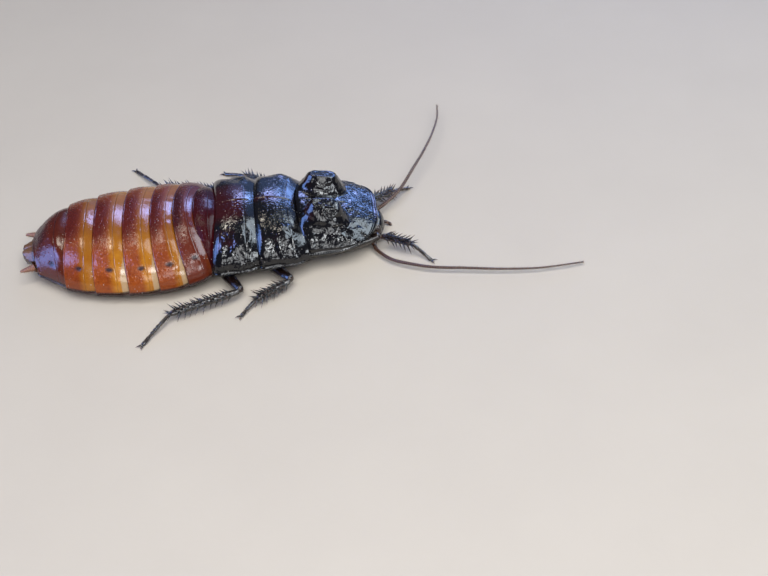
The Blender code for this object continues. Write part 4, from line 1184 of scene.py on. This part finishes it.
# Legs. Each has a broad flat coxa under the body, a small trochanter, a stout femur, a tibia armed with rows of
# spines, and a five-jointed foot with pads and two claws. All are black shell, hollow in life, and jointed by skin.
# For each pair: hip and root of the left leg, thickness and spines in a row. For each leg: knee, ankle and toe.
LEG_ROOTS = {
    "fore": ((32.3, 3.5, 2.35), (35.2, 6.2, 1.85), 0.95, 6),
    "middle": ((25.8, 3.3, 2.35), (22.5, 6.7, 1.75), 1.0, 7),
    "hind": ((18.4, 3.4, 2.35), (14.0, 6.5, 1.75), 1.05, 9),
}
LEGS = {
    "fore_right": ((43.7, -5.4, 3.9), (49.1, -7.5, 3.0), (52.3, -9.6, 0.42)),
    "fore_left": ((42.6, 6.3, 3.3), (47.2, 9.9, 2.2), (50.2, 12.6, 0.42)),
    "middle_right": ((27.2, -13.9, 2.7), (20.8, -16.6, 1.45), (18.0, -19.5, 0.42)),
    "middle_left": ((26.4, 14.3, 2.7), (19.5, 20.2, 1.8), (15.4, 23.4, 0.42)),
    "hind_right": ((18.2, -15.3, 2.6), (5.7, -19.0, 2.1), (0.9, -24.5, 0.42)),
    "hind_left": ((16.4, 15.2, 2.6), (3.3, 18.8, 2.1), (-2.2, 27.4, 0.42)),
}
# Cross sections: the share of a piece's length, its half width, and its half height where that is another.
COXA_SECTIONS = ((0.0, 1.35, 0.7), (0.35, 1.7, 0.82), (0.8, 1.05, 0.72), (1.0, 0.72, 0.66))
TROCHANTER_SECTIONS = ((0.0, 0.6), (0.5, 0.68), (1.0, 0.6))
THORN_TURNS = (245.0, 295.0)
SPINE_TURNS = (20.0, 50.0, 90.0, 130.0, 160.0, 215.0, 325.0)
SPINE_LENGTH = 1.7
SPINE_RADIUS = 0.18
SPUR_TURNS = (-20.0, 25.0, 85.0, 150.0, 195.0)
SPUR_LENGTH = 1.5
SPUR_RADIUS = 0.17
DOWN_RADIUS = 0.014
TARSUS_MARKS = (0.0, 0.34, 0.46, 0.56, 0.66, 1.0)
TARSUS_PROFILE = ((0.0, 0.12), (0.12, 0.24), (0.8, 0.36), (0.95, 0.33), (1.0, 0.18))
CREASE_HEIGHT = 0.045
PAD_RADIUS = 0.26
PAD_REACH = 0.28
PAD_DROP = 0.20
CLAW_LENGTH = 1.1
CLAW_RADIUS = 0.17
CLAW_HOOK = 0.42


def paint_leg(wire):
    """Black shell with brown ends, spines that go from black to brown at their tips, straw-coloured down and pads."""
    cloud = wire.noise(1.2, 4.0)
    speck = wire.noise(0.2, 2.0)
    shell = (cloud * 0.5 + wire.reading("joint") * 0.5).mix((0.002, 0.002, 0.002), (0.026, 0.010, 0.007))
    thorn = wire.reading("tip").step(0.35, 1.0).mix((0.004, 0.002, 0.002), (0.11, 0.045, 0.02))
    down = (0.34, 0.25, 0.17)
    colour = wire.reading("down").mix(wire.reading("hair").mix(shell, thorn), down)
    colour = wire.reading("pad").mix(colour, (0.28, 0.20, 0.13))
    return colour, 0.15 + 0.2 * speck, (speck + cloud).bump(0.03)


leg_finish = finish("leg_shell", paint_leg, Coat_Weight=0.5, Coat_Roughness=0.08, IOR=1.55)


def limb(points, sections, sides, rows, start_round, end_round, seed, groove=0.0, ridges=0.0):
    """A limb piece along a path, with rounded ends, fine length-wise creases, and a groove along its underside."""
    curve = path_through(points, 24)
    total = path_length(curve)[-1]
    even = np.linspace(0.0, 1.0, rows)
    run = total * (0.5 - 0.5 * np.cos(np.pi * even)) * 0.6 + 0.4 * total * even
    ends = rounded(run, total, start_round, end_round)
    width = along(sections, run / total) * ends
    height = along([(row[0], row[-1]) for row in sections], run / total) * ends
    turn = 2 * np.pi * np.arange(sides) / sides
    below = half_turns(turn - 1.5 * np.pi)[None, :]
    places = places_at(run[:, None] * 0.5, 1.2 * np.cos(turn), 1.2 * np.sin(turn))
    relief = CREASE_HEIGHT * crinkle(places, 0.45, seed) - 0.03 + ridges * np.cos(4 * turn)[None, :]
    relief = relief - groove * bell(below, 0.0, 0.30) + 0.5 * groove * bell(np.abs(below), 0.6, 0.2)
    from_end = np.minimum(run, total - run)
    relief = relief * ease(from_end / 0.5)[:, None]
    return tube(path_at(curve, run), width, height, sides, relief, floor=0.0, joint=1.0 - ease(from_end / 0.8))


def spine_rows(start, end, radius, per_row, turns, length, thick, draw):
    """Rows of spines down a straight limb, each row at its own turn, leaning towards the limb's end."""
    ahead, side, up = (axis[0] for axis in frames_along(np.array([start, end])))
    row, place = (grid.ravel() for grid in np.meshgrid(np.arange(len(turns)), np.arange(per_row), indexing="ij"))
    share = 0.16 + 0.80 * (place + 0.5 * (row % 2)) / per_row
    turn = np.radians(np.array(turns)[row] + draw.uniform(-12, 12, len(row)))[:, None]
    out = side * np.cos(turn) + up * np.sin(turn)
    roots = start + (end - start) * share[:, None] + out * radius * 0.8
    directions = out + ahead * draw.uniform(0.55, 0.95, (len(row), 1))
    lengths = length * draw.uniform(0.55, 1.1, len(row)) * (0.75 + 0.3 * share)
    return spikes(roots, directions, lengths, thick, 0.08, 6, 6, 1.5, 0.03)


def spur_ring(end, ahead_from, radius, draw):
    """Five long spurs round the end of the tibia."""
    ahead, side, up = (axis[0] for axis in frames_along(np.array([ahead_from, end])))
    turn = np.radians(np.array(SPUR_TURNS) + draw.uniform(-8, 8, 5))[:, None]
    out = side * np.cos(turn) + up * np.sin(turn)
    roots = end + out * radius * 0.5 - ahead * 0.15
    lengths = SPUR_LENGTH * draw.uniform(0.8, 1.1, 5)
    return spikes(roots, out + ahead * 1.1, lengths, SPUR_RADIUS, 0.06, 6, 6, 1.4, 0.03)


def with_readings(patch, **values):
    """The same patch with a reading of one value all over it."""
    points, faces, readings = patch
    added = {name: np.full(len(points), float(value)) for name, value in values.items()}
    return points, faces, {**readings, **added}


def foot(start, toe, draw):
    """Five joints that flare forwards, each but the last with a pale pad under its end, then pad and claws."""
    bend = start * 0.45 + toe * 0.55 + (0.0, 0.0, 0.12)
    curve = path_through([start, bend, toe], 30)
    total = path_length(curve)[-1]
    marks = np.array(TARSUS_MARKS) * total
    phase = np.linspace(0.0, 1.0, 25)
    radius = along(TARSUS_PROFILE, phase)
    patches = []
    for near, far in zip(marks[:-1], marks[1:]):
        run = np.linspace(near - 0.12, far + 0.05, 25).clip(0.0, total)
        relief = 0.02 * crinkle(places_at(run * 2, 0.0, 0.0), 0.4, 200)[:, None]
        patches.append(tube(path_at(curve, run), radius, radius * 0.9, 20, relief, 0.0, joint=(1 - phase) * 0.6))
    forward = unit((toe - bend) * (1.0, 1.0, 0.0))
    for place in (*path_at(curve, marks[1:5] - 0.05), toe + forward * 0.35 - (0.0, 0.0, 0.05)):
        line = path_through(place - (0.0, 0.0, PAD_DROP) + forward * np.array([[-PAD_REACH], [0.0], [PAD_REACH]]), 8)
        size = PAD_RADIUS * np.sqrt(np.maximum(1.0 - np.linspace(-0.99, 0.99, len(line)) ** 2, 0.0))
        patches.append(with_readings(tube(line, size, size * 0.8, 14, floor=0.0), pad=1))
    across = np.array([-forward[1], forward[0], 0.0])
    roots = np.array([toe + forward * 0.2 + across * 0.16 * sign for sign in (1, -1)])
    directions = np.array([forward * 0.85 + across * 0.5 * sign + (0, 0, 0.35) for sign in (1, -1)])
    patches.append(spikes(roots, directions, np.full(2, CLAW_LENGTH), CLAW_RADIUS, CLAW_HOOK, 8, 9, 1.1, 0.02))
    down = whorls(curve, np.linspace(0.1, total - 0.1, 22), 0.3, 9, 0.3, draw, DOWN_RADIUS, 0.02)
    return patches + [with_readings(down, down=1)]


def down_on(start, end, span, count, radius, per_place, length, draw):
    """Down on a straight limb, in whorls at even places over a span of its length."""
    straight = np.array([start + (end - start) * share for share in np.linspace(0, 1, 12)])
    places = np.linspace(*span, count) * np.linalg.norm(end - start)
    return with_readings(whorls(straight, places, radius, per_place, length, draw, DOWN_RADIUS, 0.03), down=1)


for number, (leg_name, tips) in enumerate(LEGS.items()):
    draw = np.random.default_rng(210 + number)
    pair, side_name = leg_name.split("_")
    *roots, thick, spine_count = LEG_ROOTS[pair]
    hip, seat = (np.array(place) * (1, dict(SIDES)[side_name], 1) for place in roots)
    knee, ankle, toe = (np.array(place) for place in tips)
    line = [hip - (seat - hip) * 0.08, (hip + seat) / 2, seat]
    coxa = limb(line, COXA_SECTIONS, 44, 49, 0.9, 0.6, 220 + number)
    ahead = unit(knee - seat)
    hook = seat + ahead * 1.6
    line = [seat - ahead * 0.3, (seat + hook) / 2, hook]
    trochanter = limb(line, TROCHANTER_SECTIONS, 28, 25, 0.5, 0.5, 230)
    start = seat + ahead * 1.0
    sections = [
        (0.0, 0.55), (0.12, 0.72), (0.3, thick, thick * 0.85), (0.75, thick * 0.92, thick * 0.8), (0.93, 0.74),
        (1.0, 0.78),
    ]
    femur = limb([start, (start + knee) / 2 + (0, 0, 0.06), knee], sections, 40, 89, 0.5, 0.6, 240 + number, 0.12)
    down = down_on(start, knee, (0.15, 0.95), 34, thick * 0.82, 7, 0.34, draw)
    thorns = spine_rows(start, knee, thick * 0.8, 5, THORN_TURNS, 0.75, 0.1, draw)
    root = knee + unit(ankle - knee) * 0.25
    sections = [(0.0, 0.5), (0.06, 0.55), (0.2, thick * 0.66), (0.8, thick * 0.62), (0.95, 0.56), (1.0, 0.5)]
    shin = limb([root, (root + ankle) / 2, ankle], sections, 32, 89, 0.4, 0.4, 250 + number, 0.0, 0.02)
    spines = spine_rows(root, ankle, thick * 0.66, spine_count, SPINE_TURNS, SPINE_LENGTH, SPINE_RADIUS, draw)
    spurs = spur_ring(ankle, root, 0.5, draw)
    shin_down = down_on(root, ankle, (0.08, 0.97), 40, thick * 0.6, 8, 0.32, draw)
    for part, node, patches in (
        ("coxa", "coxa", [coxa]),
        ("femur", "femur", [trochanter, femur, thorns, down]),
        ("tibia", "tibia", [shin, spines, spurs, shin_down]),
        ("foot", "tarsus", foot(ankle, toe, draw)),
    ):
        title = "%s_%s_%s" % (side_name, pair, part)
        add_piece(title, leg_finish, "leg_shell", ["%s_%s" % (node, leg_name)], *patches)


# Stage. A pale matt floor, a soft fill light, and panels that make the sheen alone: blue and violet windows and an
# open sky beyond the animal and behind it, and white ones before, beside and above it. The camera stands where the
# picture was taken from.
CAMERA_PLACE = (36.7295, -218.3519, 170.6348)
CAMERA_RIGHT = (0.99435024, -0.08521757, -0.06328952)
CAMERA_UP = (0.10325834, 0.63834308, 0.76279475)
CAMERA_BACK = (-0.02460309, -0.76502031, 0.64353602)
CAMERA_LENS = 70.3125
CAMERA_SENSOR = 36.0
FLOOR_HALF = 1.5
# Each panel: its direction from the animal and height over the horizon in degrees, distance and sides in metres,
# power in watts, and colour.
PANELS = {
    "far_window": (79.5, 33.5, 0.5, 0.15, 0.075, 0.52, (0.40, 0.48, 1.0)),
    "rear_window": (69.0, 28.0, 0.5, 0.06, 0.06, 0.20, (0.26, 0.44, 1.0)),
    "blue_window": (60.0, 15.0, 0.6, 0.16, 0.09, 0.42, (0.24, 0.42, 1.0)),
    "top_lamp": (108.0, 67.0, 0.5, 0.07, 0.08, 0.30, (1.0, 0.92, 0.80)),
    "sky_beyond": (62.0, 22.0, 0.8, 1.08, 0.6, 1.1, (0.24, 0.44, 1.0)),
    "front_panel": (20.0, 43.0, 0.6, 0.44, 0.27, 2.5, (0.76, 0.89, 1.0)),
    "low_panel": (-46.0, 19.0, 0.5, 0.20, 0.12, 0.75, (0.90, 0.96, 1.0)),
    "crown_panel": (45.0, 60.0, 0.6, 0.12, 0.12, 0.24, (0.88, 0.95, 1.0)),
    "side_panel": (-57.0, 54.0, 0.5, 0.20, 0.09, 0.85, (0.95, 0.98, 1.0)),
    "near_panel": (-84.0, 28.0, 0.6, 0.24, 0.24, 0.9, (0.97, 0.99, 1.0)),
    "tail_sky": (-180.0, 28.0, 0.7, 0.40, 0.80, 8.6, (0.22, 0.40, 1.0)),
    "tail_window": (-172.0, 57.0, 0.7, 0.22, 0.16, 1.0, (0.36, 0.42, 1.0)),
    "fill": (-82.0, 55.0, 0.6, 0.45, 0.40, 4.6, (1.0, 0.96, 0.90)),
}
PANEL_TARGET = (8.0, 0.0, 6.0)


def paint_floor(wire):
    """Pale matt board with the faintest mottling."""
    cloud = wire.noise(30.0, 3.0)
    grain = wire.noise(1.2, 3.0)
    return cloud.mix((0.60, 0.565, 0.52), (0.66, 0.625, 0.575)), 0.6 + 0.15 * grain, grain.bump(0.02)


def place_view(thing, place, right, up, back):
    """Puts a camera or a light at a place, with its own axes right, up and back."""
    rows = np.eye(4)
    rows[:3, 0], rows[:3, 1], rows[:3, 2], rows[:3, 3] = right, up, back, place
    thing.matrix_world = mathutils.Matrix(rows)
    bpy.context.scene.collection.objects.link(thing)


def add_panel(name, turn, height, distance, wide, tall, power, colour):
    """A soft light in a direction from the animal, facing it. Only the fill lights the colours, and not the sheen."""
    lamp = bpy.data.lights.new(name, "AREA")
    lamp.shape = "RECTANGLE"
    lamp.size, lamp.size_y = wide, tall
    lamp.energy = power
    lamp.color = colour
    turn, height = math.radians(turn), math.radians(height)
    back = np.array([math.cos(turn) * math.cos(height), math.sin(turn) * math.cos(height), math.sin(height)])
    right = unit(np.cross((0.0, 0.0, 1.0), back))
    thing = bpy.data.objects.new(name, lamp)
    thing.visible_camera = False
    thing.visible_diffuse = name == "fill"
    thing.visible_glossy = name != "fill"
    place_view(thing, np.array(PANEL_TARGET) * MM + back * distance, right, np.cross(back, right), back)


floor_mesh = bpy.data.meshes.new("floor_board")
corners = [(x * FLOOR_HALF, y * FLOOR_HALF, 0) for x, y in ((-1, -1), (1, -1), (1, 1), (-1, 1))]
floor_mesh.from_pydata(corners, [], [(0, 1, 2, 3)])
floor_mesh.materials.append(finish("floor_board", paint_floor))
floor = bpy.data.objects.new("floor_board", floor_mesh)
bpy.context.scene.collection.objects.link(floor)
for name, panel in PANELS.items():
    add_panel(name, *panel)
world = bpy.data.worlds.new("studio")
world.use_nodes = True
room = Wire(world.node_tree)
seen = room.node("ShaderNodeLightPath", {}, {}, "Is Camera Ray")
colour = seen.mix((0.074, 0.086, 0.12), (0.62, 0.60, 0.57))
world.node_tree.links.new(colour.socket, world.node_tree.nodes["Background"].inputs["Color"])
bpy.context.scene.world = world
bpy.context.scene.view_settings.view_transform = "Standard"
view = bpy.data.cameras.new("view")
view.lens = CAMERA_LENS
view.sensor_width = CAMERA_SENSOR
view.sensor_fit = "HORIZONTAL"
view.clip_start = 0.005
view.clip_end = 10.0
camera = bpy.data.objects.new("view", view)
place_view(camera, np.array(CAMERA_PLACE) * MM, CAMERA_RIGHT, CAMERA_UP, CAMERA_BACK)
bpy.context.scene.camera = camera
